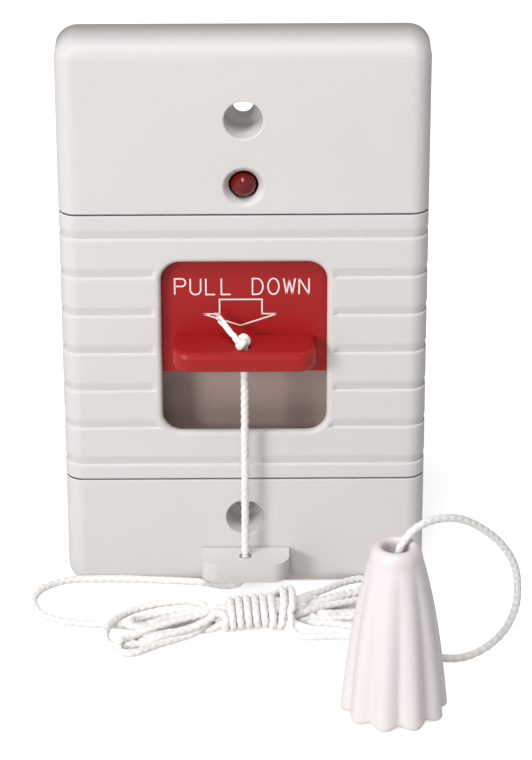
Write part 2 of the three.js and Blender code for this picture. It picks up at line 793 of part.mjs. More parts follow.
// Through the guide, down to the table, and round to the left end of the hank
const leadRoute = [
  [0, cordY, guideTopZ + gap],
  [0, cordY, guideBottomZ + guideHeight / 2],
  [-0.1, cordY, guideBottomZ],
  [-1.3, cordY + 0.4, 2.7],
  [-3.8, -2.4, 1.6],
  [-8.7, -1.8, 2],
  [-13.8, -1.9, 2.4],
  [-18.9, -2, 2.7],
  [-23.8, -2.1, 3],
  [-28.8, -2.4, 3.2],
  [-33.8, -3, 3.4],
  [-37.7, -4.8, 3.5],
  [-40.2, -7.3, 3.4],
  [-41.4, -10.5, 2.8],
  [-39.8, -13.4, 1.8],
  [-36.4, -14.9, 1.1],
  [-32.3, -15.7, 0.9],
  [-29.1, -16.1, 0.9],
];

// Out of the hank, behind the bell, up in a springy loop, and down through the bell's roof to the knot
const tailRoute = [
  [10.1, -19.9, 0.9],
  [13, -21.5, 0.85],
  [18.3, -21.6, 0.85],
  [24.3, -22.4, 0.85],
  [30.9, -26, 0.85],
  [36.4, -29.2, 0.85],
  [40.6, -30.1, 1.2],
  [44.6, -30.1, 2.8],
  [48.6, -30.5, 7],
  [50.7, -31.3, 12.8],
  [51, -32.1, 17.8],
  [50.1, -33.1, 22.9],
  [47.7, -34.5, 27.8],
  [43.6, -36.6, 32.6],
  [39.1, -38.9, 35.9],
  [34.9, -41.1, 37],
  [31.4, -43.2, 36.6],
  [29.1, -44.6, 34.8],
  [27.8, -45.2, 32.4],
  [27.4, -45.3, 30],
];

// Right edge, then left edge of the hank seen from above
const hankOutline = [
  [30.4, -9.4],
  [28, -15.1],
  [20.7, -18],
  [9.7, -18.7],
  [-2.3, -19.6],
  [-11.1, -24],
  [-20, -26.4],
  [-26.1, -23],
  [-28.6, -17.9],
  [-26.4, -12.8],
  [-19.5, -10.5],
  [-10.5, -10.8],
  [-2.5, -12.4],
  [9.5, -11.8],
  [18.3, -7.1],
  [26.2, -4.3],
];

// Height of the hank along x: flat loops at its ends, and its round waist where it is wrapped
function hankHeight(x) {
  const waist = Math.exp(-(((x - 3) / 10) ** 2));
  return 5 + 2 * waist;
}

function cordHank() {
  const points = hankOutline.map(([x, y]) => new THREE.Vector3(x, y, 0));
  const curve = new THREE.CatmullRomCurve3(points, true, "centripetal");
  const rim = curve.getPoints(48).slice(0, -1).map((point) => new THREE.Vector2(point.x, point.y));
  const geometry = new THREE.ExtrudeGeometry(new THREE.Shape(rim), {
    depth: 0.6,
    bevelThickness: 0.2,
    bevelSize: 1,
    bevelOffset: -1,
    bevelSegments: 2,
  });
  geometry.translate(0, 0, 0.2);
  const position = geometry.attributes.position;
  for (let i = 0; i < position.count; i++) {
    position.setZ(i, hankBase + position.getZ(i) * hankHeight(position.getX(i)));
  }
  return solidOf(geometry);
}

// Pull bell
// Radius of the bell's mean outer wall at a height, from its hem up to its shoulder
function bellRadius(z) {
  const rise = z / bellHeight;
  return 9.75 - 3.2 * rise - 2.4 * rise ** 3;
}

function pullBell() {
  const profile = [];
  const [steps, roofZ] = [6, bellHeight - bellRoof];
  const shoulderZ = bellHeight - 1.6;
  for (let i = 0; i <= steps; i++) {
    const z = (shoulderZ * i) / steps;
    profile.push([bellRadius(z), z]);
  }
  profile.push([bellRadius(bellHeight) - 0.4, bellHeight - 0.4]);
  profile.push([bellHoleRadius + 0.9, bellHeight]);
  profile.push([bellHoleRadius + 0.2, bellHeight - 0.3]);
  profile.push([bellHoleRadius, bellHeight - 1.1]);
  profile.push([bellHoleRadius, roofZ]);
  profile.push([bellRadius(roofZ) - bellWall - 0.5, roofZ]);
  for (let i = steps - 1; i >= 0; i--) {
    const z = ((roofZ - 1) * i) / steps;
    profile.push([bellRadius(z) - bellWall, z]);
  }
  profile.push(profile[0]);
  const points = profile.map(([radius, z]) => new THREE.Vector2(radius, z));
  const geometry = new THREE.LatheGeometry(points, bellSides).rotateX(Math.PI / 2);
  flute(geometry);
  return solidOf(geometry.translate(bellX, bellY, 0));
}

// Pushes the bell's wall in and out round its axis, more towards the hem, and lifts the hem between flutes
function flute(geometry) {
  const position = geometry.attributes.position;
  for (let i = 0; i < position.count; i++) {
    const [x, y, z] = [position.getX(i), position.getY(i), position.getZ(i)];
    const radius = Math.hypot(x, y);
    const wave = Math.cos(bellFlutes * (Math.atan2(x, -y) - bellTurn));
    const fade = Math.max(0, 1 - z / (0.93 * bellHeight));
    const push = bellFluteDepth * wave * fade ** 0.8;
    const lift = z < 1 ? bellHemRise * (1 - wave) / 2 : 0;
    const factor = (radius + push) / radius;
    position.setXYZ(i, x * factor, y * factor, z + lift);
  }
}

function endKnot() {
  const z = bellHeight - bellRoof - gap - endKnotRadius * 0.85;
  const ball = new THREE.IcosahedronGeometry(endKnotRadius, 1).scale(1, 1, 0.85);
  return solidOf(ball.translate(bellX, bellY, z));
}

// Materials
const finishes = {
  cover: { color: 0xdedad6, roughness: 0.45, metalness: 0 },
  frame: { color: 0xa39b92, roughness: 0.6, metalness: 0 },
  slider: { color: 0xb01f24, roughness: 0.35, metalness: 0 },
  lens: { color: 0x7a0c10, roughness: 0.12, metalness: 0 },
  steel: { color: 0xb4b6b8, roughness: 0.35, metalness: 1 },
  switch: { color: 0x1c1c1e, roughness: 0.55, metalness: 0 },
  board: { color: 0x1f5a35, roughness: 0.5, metalness: 0 },
  block: { color: 0x2f7d4a, roughness: 0.5, metalness: 0 },
  ceramic: { color: 0xc9a878, roughness: 0.6, metalness: 0 },
  cord: { color: 0xf1efec, roughness: 0.8, metalness: 0 },
  bell: { color: 0xf6f2ef, roughness: 0.4, metalness: 0 },
};

const assembly = new THREE.Group();

function add(name, finish, solid) {
  const mesh = new THREE.Mesh(geometryOf(solid), new THREE.MeshStandardMaterial(finishes[finish]));
  mesh.name = name;
  assembly.add(mesh);
}

add("top_cover", "cover", topCover());
add("centre_cover", "cover", centreCover());
add("bottom_cover", "cover", bottomCover());
add("cord_guide", "cover", cordGuide());
add("base_frame", "frame", baseFrame());
add("slider", "slider", slider());
add("friction_spring", "steel", frictionSpring());
add("spring_screw", "steel", springScrew());
add("switch_body", "switch", switchBody());
add("switch_lever", "steel", switchLever());
add("switch_plunger", "slider", switchPlunger());
for (let i = 0; i < 3; i++) {
  add(`switch_pin_${i + 1}`, "steel", switchPin(i));
}
add("circuit_board", "board", circuitBoard());
add("lamp", "lens", lamp());
add("lamp_lead_1", "steel", lampLead(-1));
add("lamp_lead_2", "steel", lampLead(1));
add("resistor", "ceramic", resistor());
add("terminal_block", "block", terminalBlock());
for (let i = 0; i < terminalCount; i++) {
  add(`terminal_screw_${i + 1}`, "steel", terminalScrewHead(i));
}
coverScrewHeights.forEach((z, row) => {
  for (const side of [-1, 1]) {
    const number = 2 * row + (side + 3) / 2;
    add(`cover_screw_${number}`, "steel", rearScrew(cupFront + cupFloor + gap, side * coverScrewX, z, screwHead,
      screwHeadHeight, screwLength));
  }
});
boardScrewZs.forEach((z, row) => {
  for (const side of [-1, 1]) {
    const number = 2 * row + (side + 3) / 2;
    add(`board_screw_${number}`, "steel", rearScrew(boardBack + gap, side * boardScrewX, z));
  }
});
add("cord_top_knot", "cord", topKnot());
add("cord_drop", "cord", cordDrop());
add("cord_lead", "cord", tube(leadRoute));
add("cord_hank", "cord", cordHank());
add("cord_tail", "cord", tube(tailRoute));
add("cord_end_knot", "cord", endKnot());
add("pull_bell", "bell", pullBell());

// The origin is under the middle of the alarm, from the front of its cord guide to the back of its terminals
assembly.position.y = (guideReach - terminalBack) / 2;

export default assembly;
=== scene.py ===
import json
import math

import bmesh
import bpy
import numpy as np
from mathutils import Matrix, Vector
from mathutils.geometry import delaunay_2d_cdt


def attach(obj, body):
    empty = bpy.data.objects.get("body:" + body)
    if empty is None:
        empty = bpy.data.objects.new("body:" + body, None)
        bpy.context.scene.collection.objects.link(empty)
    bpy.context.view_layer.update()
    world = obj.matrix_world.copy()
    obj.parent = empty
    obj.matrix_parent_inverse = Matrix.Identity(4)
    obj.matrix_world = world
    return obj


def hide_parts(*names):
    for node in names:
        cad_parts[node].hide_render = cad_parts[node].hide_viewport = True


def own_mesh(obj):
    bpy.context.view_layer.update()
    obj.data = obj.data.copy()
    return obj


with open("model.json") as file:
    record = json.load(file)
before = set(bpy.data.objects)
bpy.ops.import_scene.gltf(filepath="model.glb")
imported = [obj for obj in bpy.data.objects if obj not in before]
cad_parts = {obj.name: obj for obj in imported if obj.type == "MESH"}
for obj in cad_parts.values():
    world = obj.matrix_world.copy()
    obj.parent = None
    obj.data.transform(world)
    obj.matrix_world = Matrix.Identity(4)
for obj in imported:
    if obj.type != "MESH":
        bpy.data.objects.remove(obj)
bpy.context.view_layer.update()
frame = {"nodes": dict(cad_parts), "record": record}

MM = 0.001

# Shared sizes
FRONT_Y = -9.7  # the plate's front face
CORD = 1.5  # the cord's diameter
CORD_Y = -13.3  # where it drops through the shelf and the guide
GUIDE_TOP = 8.9
SHELF_TOP = 54.0
SHELF_BOTTOM = 50.0
SHARP = math.radians(50)  # faces that meet at more than this keep a crisp edge
CLEAN = 1e-4  # how near two points of a flat outline may lie
AT_RIM = 0.02  # how far a point may lie from the outline of the hole that it belongs to


# Small helpers
def place_mesh(name, mesh, smooth=True):
    mesh.polygons.foreach_set("use_smooth", [smooth] * len(mesh.polygons))
    piece = bpy.data.objects.new(name, mesh)
    bpy.context.scene.collection.objects.link(piece)
    return piece


def new_mesh(name, vertices, faces):
    mesh = bpy.data.meshes.new(name)
    mesh.from_pydata([tuple(v * MM for v in vertex) for vertex in vertices], [], faces)
    mesh.update()
    return place_mesh(name, mesh)


def piece_of(name, made, smooth=True):
    for vertex in made.verts:
        vertex.co *= MM
    mesh = bpy.data.meshes.new(name)
    made.to_mesh(mesh)
    made.free()
    return place_mesh(name, mesh, smooth)


def moved_vertices(grown):
    return [item for item in grown if isinstance(item, bmesh.types.BMVert)]


def join_rings(made, rings):
    for a, b in zip(rings, rings[1:]):
        count = len(a)
        for k in range(count):
            made.faces.new((a[k], b[k], b[(k + 1) % count], a[(k + 1) % count]))


def round_edges(piece, width, segments):
    bevel = piece.modifiers.new("edges", "BEVEL")
    bevel.width = width * MM
    bevel.segments = segments
    bevel.limit_method = "ANGLE"
    bevel.angle_limit = math.radians(40)
    bevel.harden_normals = True


def finish_piece(piece, look, body, slot, *nodes):
    piece.data.materials.append(look)
    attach(piece, body)
    if nodes:
        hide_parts(*nodes)
    return piece


def smooth_path(points, spacing):
    """Even points along a centripetal spline through the given ones."""
    knots = [np.array(p, float) for p in points]
    knots = [2 * knots[0] - knots[1]] + knots + [2 * knots[-1] - knots[-2]]
    dense = []
    for a, b, c, d in zip(knots, knots[1:], knots[2:], knots[3:]):
        t0 = 0.0
        t1 = t0 + max(np.linalg.norm(b - a), 1e-6) ** 0.5
        t2 = t1 + max(np.linalg.norm(c - b), 1e-6) ** 0.5
        t3 = t2 + max(np.linalg.norm(d - c), 1e-6) ** 0.5
        for t in np.linspace(t1, t2, 24, endpoint=False):
            p = (t1 - t) / (t1 - t0) * a + (t - t0) / (t1 - t0) * b
            q = (t2 - t) / (t2 - t1) * b + (t - t1) / (t2 - t1) * c
            r = (t3 - t) / (t3 - t2) * c + (t - t2) / (t3 - t2) * d
            m = (t2 - t) / (t2 - t0) * p + (t - t0) / (t2 - t0) * q
            n = (t3 - t) / (t3 - t1) * q + (t - t1) / (t3 - t1) * r
            dense.append((t2 - t) / (t2 - t1) * m + (t - t1) / (t2 - t1) * n)
    dense.append(knots[-2])
    return even(np.array(dense), spacing)


def even(line, spacing):
    steps = np.linalg.norm(np.diff(line, axis=0), axis=1)
    along = np.concatenate([[0], np.cumsum(steps)])
    count = max(2, int(round(along[-1] / spacing)) + 1)
    wanted = np.linspace(0, along[-1], count)
    return np.stack([np.interp(wanted, along, line[:, k]) for k in range(3)], axis=1)


# Braided cord
BRAID_SIDES = 28
BRAID_STEP = 0.17
BRAID_STRANDS = 2
BRAID_PITCH = 1.65
BRAID_RELIEF = 0.16
BRAID_CROWN = 1.25  # how far the crossings stand out, in reliefs


def braid_height(around, along):
    """Relief of a plaited sleeve: crossing strands that pass over and under each other."""
    a = BRAID_STRANDS * around + along / BRAID_PITCH
    b = BRAID_STRANDS * around - along / BRAID_PITCH
    fa, fb = a - np.floor(a), b - np.floor(b)
    over = (np.floor(a) + np.floor(b)) % 2 < 0.5
    across = np.where(over, fa, fb)
    onward = np.where(over, fb, fa)
    return np.sin(np.pi * across) ** 0.6 * (0.55 + 0.45 * np.sin(np.pi * onward))


def braid(name, route, radius=CORD / 2):
    """A braided tube along even points of a route, closed at its ends."""
    line = even(np.array(route, float), BRAID_STEP)
    tangents = np.gradient(line, axis=0)
    tangents /= np.linalg.norm(tangents, axis=1)[:, None]
    normal = np.cross(tangents[0], [0.13, 0.97, 0.21])
    normal /= np.linalg.norm(normal)
    angles = np.arange(BRAID_SIDES) * 2 * math.pi / BRAID_SIDES
    vertices = []
    for i, (point, tangent) in enumerate(zip(line, tangents)):
        normal = normal - tangent * normal.dot(tangent)
        normal /= np.linalg.norm(normal)
        side = np.cross(tangent, normal)
        relief = braid_height(angles / (2 * math.pi), i * BRAID_STEP)
        reach = radius * (1 - BRAID_RELIEF) + radius * BRAID_RELIEF * BRAID_CROWN * relief
        out, over = np.cos(angles) * reach, np.sin(angles) * reach
        vertices.extend(point + np.outer(out, normal) + np.outer(over, side))
    faces = []
    n = BRAID_SIDES
    for i in range(len(line) - 1):
        for j in range(n):
            k = (j + 1) % n
            faces.append((i * n + j, i * n + k, (i + 1) * n + k, (i + 1) * n + j))
    faces.append(tuple(range(n - 1, -1, -1)))
    faces.append(tuple((len(line) - 1) * n + j for j in range(n)))
    piece = new_mesh(name, vertices, faces)
    around = np.tile(angles / (2 * math.pi), len(line))
    along = np.repeat(np.arange(len(line)) * BRAID_STEP, n)
    store(piece, "braid_around", around)
    store(piece, "braid_along", along)
    store(piece, "braid_height", braid_height(around, along))
    return piece, line


def store(piece, name, values):
    attribute = piece.data.attributes.new(name, "FLOAT", "POINT")
    attribute.data.foreach_set("value", np.asarray(values, np.float32))


# Materials
def material(name, colour, roughness, metallic=0.0):
    made = bpy.data.materials.new(name)
    made.use_nodes = True
    shader = made.node_tree.nodes["Principled BSDF"]
    shader.inputs["Base Color"].default_value = (*colour, 1)
    shader.inputs["Roughness"].default_value = roughness
    shader.inputs["Metallic"].default_value = metallic
    return made, made.node_tree, shader


def linear(*srgb):
    shares = [c / 255 for c in srgb]
    return tuple(c / 12.92 if c <= 0.04045 else ((c + 0.055) / 1.055) ** 2.4 for c in shares)


def moulded(name, srgb, roughness, bump=0.06, mottle=0.03, specular=0.4, metallic=0.0):
    """Moulded plastic or plain metal: a fine eroded grain, faint drift of its colour and of its gloss."""
    made, tree, shader = material(name, linear(*srgb), roughness, metallic)
    shader.inputs["Specular IOR Level"].default_value = specular
    nodes, links = tree.nodes, tree.links
    where = nodes.new("ShaderNodeTexCoord")
    fine = nodes.new("ShaderNodeTexNoise")
    fine.inputs["Scale"].default_value = 9000
    fine.inputs["Detail"].default_value = 3
    broad = nodes.new("ShaderNodeTexNoise")
    broad.inputs["Scale"].default_value = 45
    broad.inputs["Detail"].default_value = 4
    links.new(where.outputs["Object"], fine.inputs["Vector"])
    links.new(where.outputs["Object"], broad.inputs["Vector"])
    tint = nodes.new("ShaderNodeMixRGB")
    base = linear(*srgb)
    tint.inputs["Color1"].default_value = (*(c * (1 - mottle) for c in base), 1)
    tint.inputs["Color2"].default_value = (*(min(1, c * (1 + mottle)) for c in base), 1)
    links.new(broad.outputs["Fac"], tint.inputs["Fac"])
    links.new(tint.outputs["Color"], shader.inputs["Base Color"])
    rough = nodes.new("ShaderNodeMapRange")
    rough.inputs["To Min"].default_value = roughness - 0.06
    rough.inputs["To Max"].default_value = roughness + 0.08
    links.new(broad.outputs["Fac"], rough.inputs["Value"])
    links.new(rough.outputs["Result"], shader.inputs["Roughness"])
    raised = nodes.new("ShaderNodeBump")
    raised.inputs["Strength"].default_value = bump
    raised.inputs["Distance"].default_value = 0.0001
    links.new(fine.outputs["Fac"], raised.inputs["Height"])
    links.new(raised.outputs["Normal"], shader.inputs["Normal"])
    return made


def braided(name, srgb):
    """White nylon yarn: painted shade in the gaps between strands, fine filaments along them, a soft sheen.
    """
    made, tree, shader = material(name, linear(*srgb), 0.55)
    shader.inputs["Sheen Weight"].default_value = 0.2
    shader.inputs["Subsurface Weight"].default_value = 0.5
    shader.inputs["Subsurface Radius"].default_value = (0.0006, 0.0006, 0.0006)
    nodes, links = tree.nodes, tree.links
    reads = {}
    for value in ("braid_around", "braid_along", "braid_height"):
        reads[value] = nodes.new("ShaderNodeAttribute")
        reads[value].attribute_name = value
    lean = nodes.new("ShaderNodeMath")
    lean.operation = "MULTIPLY_ADD"
    lean.inputs[1].default_value = 9.0
    links.new(reads["braid_around"].outputs["Fac"], lean.inputs[0])
    links.new(reads["braid_along"].outputs["Fac"], lean.inputs[2])
    place = nodes.new("ShaderNodeCombineXYZ")
    links.new(lean.outputs[0], place.inputs["X"])
    slow = nodes.new("ShaderNodeMath")
    slow.operation = "MULTIPLY"
    slow.inputs[1].default_value = 0.35
    links.new(reads["braid_along"].outputs["Fac"], slow.inputs[0])
    links.new(slow.outputs[0], place.inputs["Y"])
    fibre = nodes.new("ShaderNodeTexNoise")
    fibre.inputs["Scale"].default_value = 3.0
    fibre.inputs["Detail"].default_value = 6
    links.new(place.outputs["Vector"], fibre.inputs["Vector"])
    # Painted shade: the yarn's colour darkens where the braid lies low, in the gaps between strands
    gap = nodes.new("ShaderNodeMapRange")
    gap.inputs["From Min"].default_value = 0.1
    gap.inputs["From Max"].default_value = 0.62
    links.new(reads["braid_height"].outputs["Fac"], gap.inputs["Value"])
    base = linear(*srgb)
    deep = nodes.new("ShaderNodeMixRGB")
    deep.inputs["Color1"].default_value = (*(c * k for c, k in zip(base, (0.86, 0.84, 0.83))), 1)
    deep.inputs["Color2"].default_value = (*base, 1)
    links.new(gap.outputs["Result"], deep.inputs["Fac"])
    worn = nodes.new("ShaderNodeMixRGB")
    worn.blend_type = "MULTIPLY"
    worn.inputs["Fac"].default_value = 0.1
    links.new(deep.outputs["Color"], worn.inputs["Color1"])
    links.new(fibre.outputs["Fac"], worn.inputs["Color2"])
    links.new(worn.outputs["Color"], shader.inputs["Base Color"])
    raised = nodes.new("ShaderNodeBump")
    raised.inputs["Strength"].default_value = 0.5
    raised.inputs["Distance"].default_value = 0.00008
    links.new(fibre.outputs["Fac"], raised.inputs["Height"])
    links.new(raised.outputs["Normal"], shader.inputs["Normal"])
    return made


COVER = moulded("cover_plastic", (217, 213, 211), 0.5)
FRAME = moulded("frame_plastic", (182, 162, 154), 0.6, mottle=0.05)
RED = moulded("slider_plastic", (166, 29, 30), 0.42, bump=0.04, specular=0.3)
BELL = moulded("bell_plastic", (231, 222, 222), 0.4, bump=0.02, mottle=0.012)
CORD_WHITE = braided("cord_yarn", (252, 250, 247))

# The free cord's route: the lead and the tail run as those of the solids do
LEAD = [
    (0, -13.3, 9.2), (0, -13.3, 6.9), (-0.1, -13.3, 4.9), (-1.3, -12.9, 2.7), (-3.8, -12.1, 1.6),
    (-8.7, -11.5, 2), (-13.8, -11.6, 2.4), (-18.9, -11.7, 2.7), (-23.8, -11.8, 3), (-28.8, -12.1, 3.2),
    (-33.8, -12.7, 3.4), (-37.7, -14.5, 3.5), (-40.2, -17, 3.4), (-41.3, -20.2, 2.8), (-39.8, -23.1, 1.8),
    (-36.4, -24.6, 1.1), (-32.3, -25.4, 0.9), (-29.1, -25.8, 0.9),
]
TAIL = [
    (10, -30.3, 0.85), (13, -31, 0.85), (18.3, -30.8, 0.85), (24.3, -31.8, 0.85), (30.9, -35.6, 0.85),
    (36.4, -38.9, 0.85), (40.6, -39.8, 1.2), (44.6, -39.8, 2.8), (48.6, -40.2, 7), (50.7, -41, 12.8),
    (50.9, -41.8, 17.8), (50.1, -42.8, 22.9), (47.7, -44.2, 27.8), (43.6, -46.3, 32.6), (39.1, -48.6, 35.9),
    (34.9, -50.8, 37), (31.4, -52.9, 36.6), (29.1, -54.3, 34.8), (27.8, -54.9, 32.4), (27.4, -55, 30),
]

# Folds of the hank, from the waist out and back to it
LEFT_FOLDS = [
    [(-9.7, -21, 3.6), (-14.3, -20.1, 3), (-18.6, -20.7, 2.6), (-22.5, -22.7, 2.4), (-25.4, -26.5, 2.6),
     (-26.8, -30.2, 2.6), (-26.6, -32.8, 2), (-25, -34, 1.2), (-22, -33.6, 0.9), (-18.3, -32.8, 1.6),
     (-14.5, -31.6, 2.6), (-9.7, -29.6, 3)],
    [(-8.8, -28.6, 1.8), (-12.3, -30.2, 1.2), (-15.9, -32.6, 0.9), (-18.9, -35, 0.8), (-21.4, -36.6, 0.8),
     (-23.8, -36.2, 1.1), (-24.2, -34.2, 1.8), (-22, -32.6, 2.6), (-18.6, -31.2, 3.4), (-15, -29.6, 3.8),
     (-10.7, -27.8, 4)],
    [(-7.9, -27.8, 1), (-11.7, -29.6, 0.8), (-15.3, -31.6, 0.8), (-18.2, -32.4, 0.9), (-20.8, -31, 1.2),
     (-20.4, -28.4, 1.6), (-16.6, -27.2, 2.2), (-10.7, -26.2, 2.6)],
    [(-9.9, -22.2, 2.6), (-14.7, -22, 1.9), (-18.6, -23, 1.6), (-21.3, -25, 1.6), (-22.3, -27.2, 1.8),
     (-21.3, -28.9, 1.8), (-19, -28.4, 2), (-15.2, -26.4, 2.6), (-10.6, -24.6, 3.2)],
]
RIGHT_FOLDS = [
    [(14.5, -17.6, 3.8), (18.9, -13.2, 3.2), (22.6, -10.6, 2.6), (26, -9.6, 2), (28.8, -11.4, 1.8),
     (27.4, -14.2, 1.8), (23.6, -15.2, 2.2), (19.8, -17.6, 2.8), (15.5, -20.4, 3.4)],
    [(14.9, -19, 2.8), (19.7, -15.4, 2.2), (24.5, -13, 1.8), (28.8, -12.4, 1.6), (31.2, -14.8, 1.6),
     (29, -17.2, 1.6), (23.4, -18.4, 2.2), (16.4, -21.6, 3)],
    [(15.4, -21.2, 2.2), (20.4, -19.2, 1.8), (25.6, -18.2, 1.4), (29.4, -18.8, 1.2), (30.6, -21.2, 1),
     (28, -23, 1), (24.4, -22.8, 1.2), (19.9, -22.9, 1.6), (14.8, -23.9, 2)],
    [(14.8, -24.2, 1.5), (19.5, -23.4, 1.2), (24, -23, 1), (27, -24.6, 0.9), (26.2, -27.4, 0.8),
     (23, -28, 0.8), (19.4, -26.6, 0.8), (15, -25.4, 1)],
]
WAIST_LEFT, WAIST_RIGHT = -4.3, 8.4
WRAP_TURNS, WRAP_PITCH = 6, 1.56
WRAP_Y, WRAP_Z = 3.6, 2.3
HITCH_TURNS, HITCH_PITCH, HITCH_GROWTH, HITCH_LEAN = 2.24, 1.65, 1.1, 0.8
WRAP_START = math.radians(130)
BEND = 2.4  # the radius at which the hank's turns begin to resist a bend
CORD_NEAR = 0.86  # soft turns press into each other by the rest of a diameter
SETTLE_STEP = 0.8  # spacing of the settling hank's points
SETTLE_ROUNDS, QUICK_ROUNDS = 320, 60
SINK = 0.012  # how far the hank sinks in a round
HOLD = 0.02  # share of its way back to the route that each point takes in a round
LIFT = 0.04  # clear height under the lowest turns


def waist_axis(x):
    return -25.4 + 0.19 * (x + 4.2), 3.15


def hank_route():
    """Eight runs between four folds at each end, then the wraps round their waist and a wider hitch."""
    seats = [(1.6, 1), (0.6, 0), (-0.4, 1), (-1.6, 0), (-1.5, 1), (1.5, 0), (0.6, 1), (-0.6, 0)]
    points = []

    def run(number, xs):
        across, layer = seats[number]
        for x in xs:
            y, z = waist_axis(x)
            points.append((x, y + across, z + (0.7 if layer else -0.7)))

    def turn_round(x, angle, grow):
        y, z = waist_axis(x)
        points.append((x, y + (WRAP_Y + grow) * math.cos(angle), z + (WRAP_Z + grow) * math.sin(angle)))

    inner = np.linspace(WAIST_LEFT, WAIST_RIGHT, 4)
    points.extend([(-25.3, -26.3, 0.9), (-20, -26.3, 0.9), (-14, -26, 1.1), (-8.5, -25.6, 1.8)])
    for turn in range(4):
        run(2 * turn, inner)
        points.extend(RIGHT_FOLDS[turn])
        run(2 * turn + 1, inner[::-1])
        points.extend(LEFT_FOLDS[(turn + 1) % 4])
    points.append((-7.4, -28.6, 3.8))
    per_turn = 12
    for i in range(WRAP_TURNS * per_turn):
        turn_round(WAIST_LEFT + i * WRAP_PITCH / per_turn, WRAP_START + i * 2 * math.pi / per_turn, 0)
    for i in range(int(HITCH_TURNS * per_turn)):
        angle = WRAP_START + i * 2 * math.pi / per_turn
        x = WAIST_LEFT + WRAP_TURNS * WRAP_PITCH + i * HITCH_PITCH / per_turn
        turn_round(x + HITCH_LEAN * math.sin(angle) * min(1, i / 5), angle, HITCH_GROWTH * min(1, i / 5))
    points.append((8.7, -29.2, 1.1))
    return points


def settle(points, spacing, rounds):
    """The hank comes to rest: its turns push each other aside, keep their length and lie on the table."""
    line = smooth_path(points, spacing)
    start = line.copy()
    i, j = np.triu_indices(len(line), 4)
    apart = CORD * CORD_NEAR
    for step in range(rounds):
        line[:, 2] -= SINK
        bend = (line[:-2] + line[2:]) / 2 - line[1:-1]
        size = np.linalg.norm(bend, axis=1)[:, None]
        bend *= 0.05 + 0.9 * np.maximum(0, 1 - spacing**2 / (2 * BEND) / np.maximum(size, 1e-6))
        line[1:-1] += 0.5 * bend
        line[:-2] -= 0.25 * bend
        line[2:] -= 0.25 * bend
        for odd in (0, 1):
            d = line[odd + 1 :: 2][: len(line[odd:-1:2])] - line[odd:-1:2]
            length = np.linalg.norm(d, axis=1)[:, None]
            shift = d * (0.5 * (length - spacing) / np.maximum(length, 1e-6))
            line[odd:-1:2] += shift
            line[odd + 1 :: 2][: len(shift)] -= shift
        if step % 12 == 0:
            near = np.abs(line[i] - line[j]).max(axis=1) < 3 * CORD
            a, b = i[near], j[near]
        d = line[b] - line[a]
        length = np.linalg.norm(d, axis=1)
        close = length < apart
        d, length = d[close], np.maximum(length[close], 1e-6)
        push = d * (0.25 * (apart - length) / length)[:, None]
        np.add.at(line, a[close], -push)
        np.add.at(line, b[close], push)
        line += HOLD * (start - line)
        line[:, 2] = np.maximum(line[:, 2], CORD / 2 + LIFT)
        line[:, 1] = np.minimum(line[:, 1], FRONT_Y - CORD / 2)
        line[:3], line[-3:] = start[:3], start[-3:]
    return line


def free_cord():
    hank = settle(hank_route(), SETTLE_STEP, SETTLE_ROUNDS)
    path = smooth_path(LEAD[:-1] + list(hank[2:-1]) + TAIL, BRAID_STEP)
    return braid("cord_free", path)


cord_piece, cord_line = free_cord()
finish_piece(cord_piece, CORD_WHITE, "root", "cord_white", "cord_lead", "cord_hank", "cord_tail")


# Front covers
PLATE_W, PLATE_H, PLATE_D = 69.85, 114.3, 9.9
EDGE, CORNER = 3.5, 4.3
SEAM_LOW, SEAM_HIGH, SEAM = 23.98, 79.82, 0.3
SEAM_EDGE = 0.22
WALL = 1.5
GROOVES, GROOVE_PITCH, GROOVE_WIDTH = 7, 7.95, 1.85
WINDOW_W, WINDOW_LOW, WINDOW_HIGH, WINDOW_CORNER = 31.6, 34.3, 70.0, 3.8
LIP, LIP_BACK = 1.0, 1.45
FLAT = PLATE_W / 2 - EDGE
ARC = EDGE * math.pi / 2
SIDE = FLAT + ARC + PLATE_D - EDGE


def quarter(distance, radius):
    """Depth of a rounded edge at some distance inside its outline."""
    short = np.clip(radius - distance, 0, radius)
    return radius - np.sqrt(np.maximum(radius**2 - short**2, 0))


def box_distance(x, z, width, low, high, corner):
    """Distance outside a rounded rectangle, negative inside it."""
    qx = np.abs(x) - width / 2 + corner
    qz = np.abs(z - (low + high) / 2) - (high - low) / 2 + corner
    outside = np.hypot(np.maximum(qx, 0), np.maximum(qz, 0))
    return outside + np.minimum(np.maximum(qx, qz), 0) - corner


def box_outline(width, low, high, corner, grow, arc=14, step=1.5):
    """Closed outline of a rounded rectangle that has grown by some distance."""
    radius = corner + grow
    points = []
    centres = [(1, -1, -90), (1, 1, 0), (-1, 1, 90), (-1, -1, 180)]
    for sx, sz, first in centres:
        cx = sx * (width / 2 - corner)
        cz = (low + high) / 2 + sz * ((high - low) / 2 - corner)
        for k in range(arc + 1):
            angle = math.radians(first + 90 * k / arc)
            points.append((cx + radius * math.cos(angle), cz + radius * math.sin(angle)))
    closed = []
    for (ax, az), (bx, bz) in zip(points, points[1:] + points[:1]):
        pieces = max(1, int(math.hypot(bx - ax, bz - az) / step))
        closed += [(ax + (bx - ax) * k / pieces, az + (bz - az) * k / pieces) for k in range(pieces)]
    return closed


def circle(x, z, radius, count=72):
    turn = 2 * math.pi / count
    return [(x + radius * math.cos(k * turn), z + radius * math.sin(k * turn)) for k in range(count)]


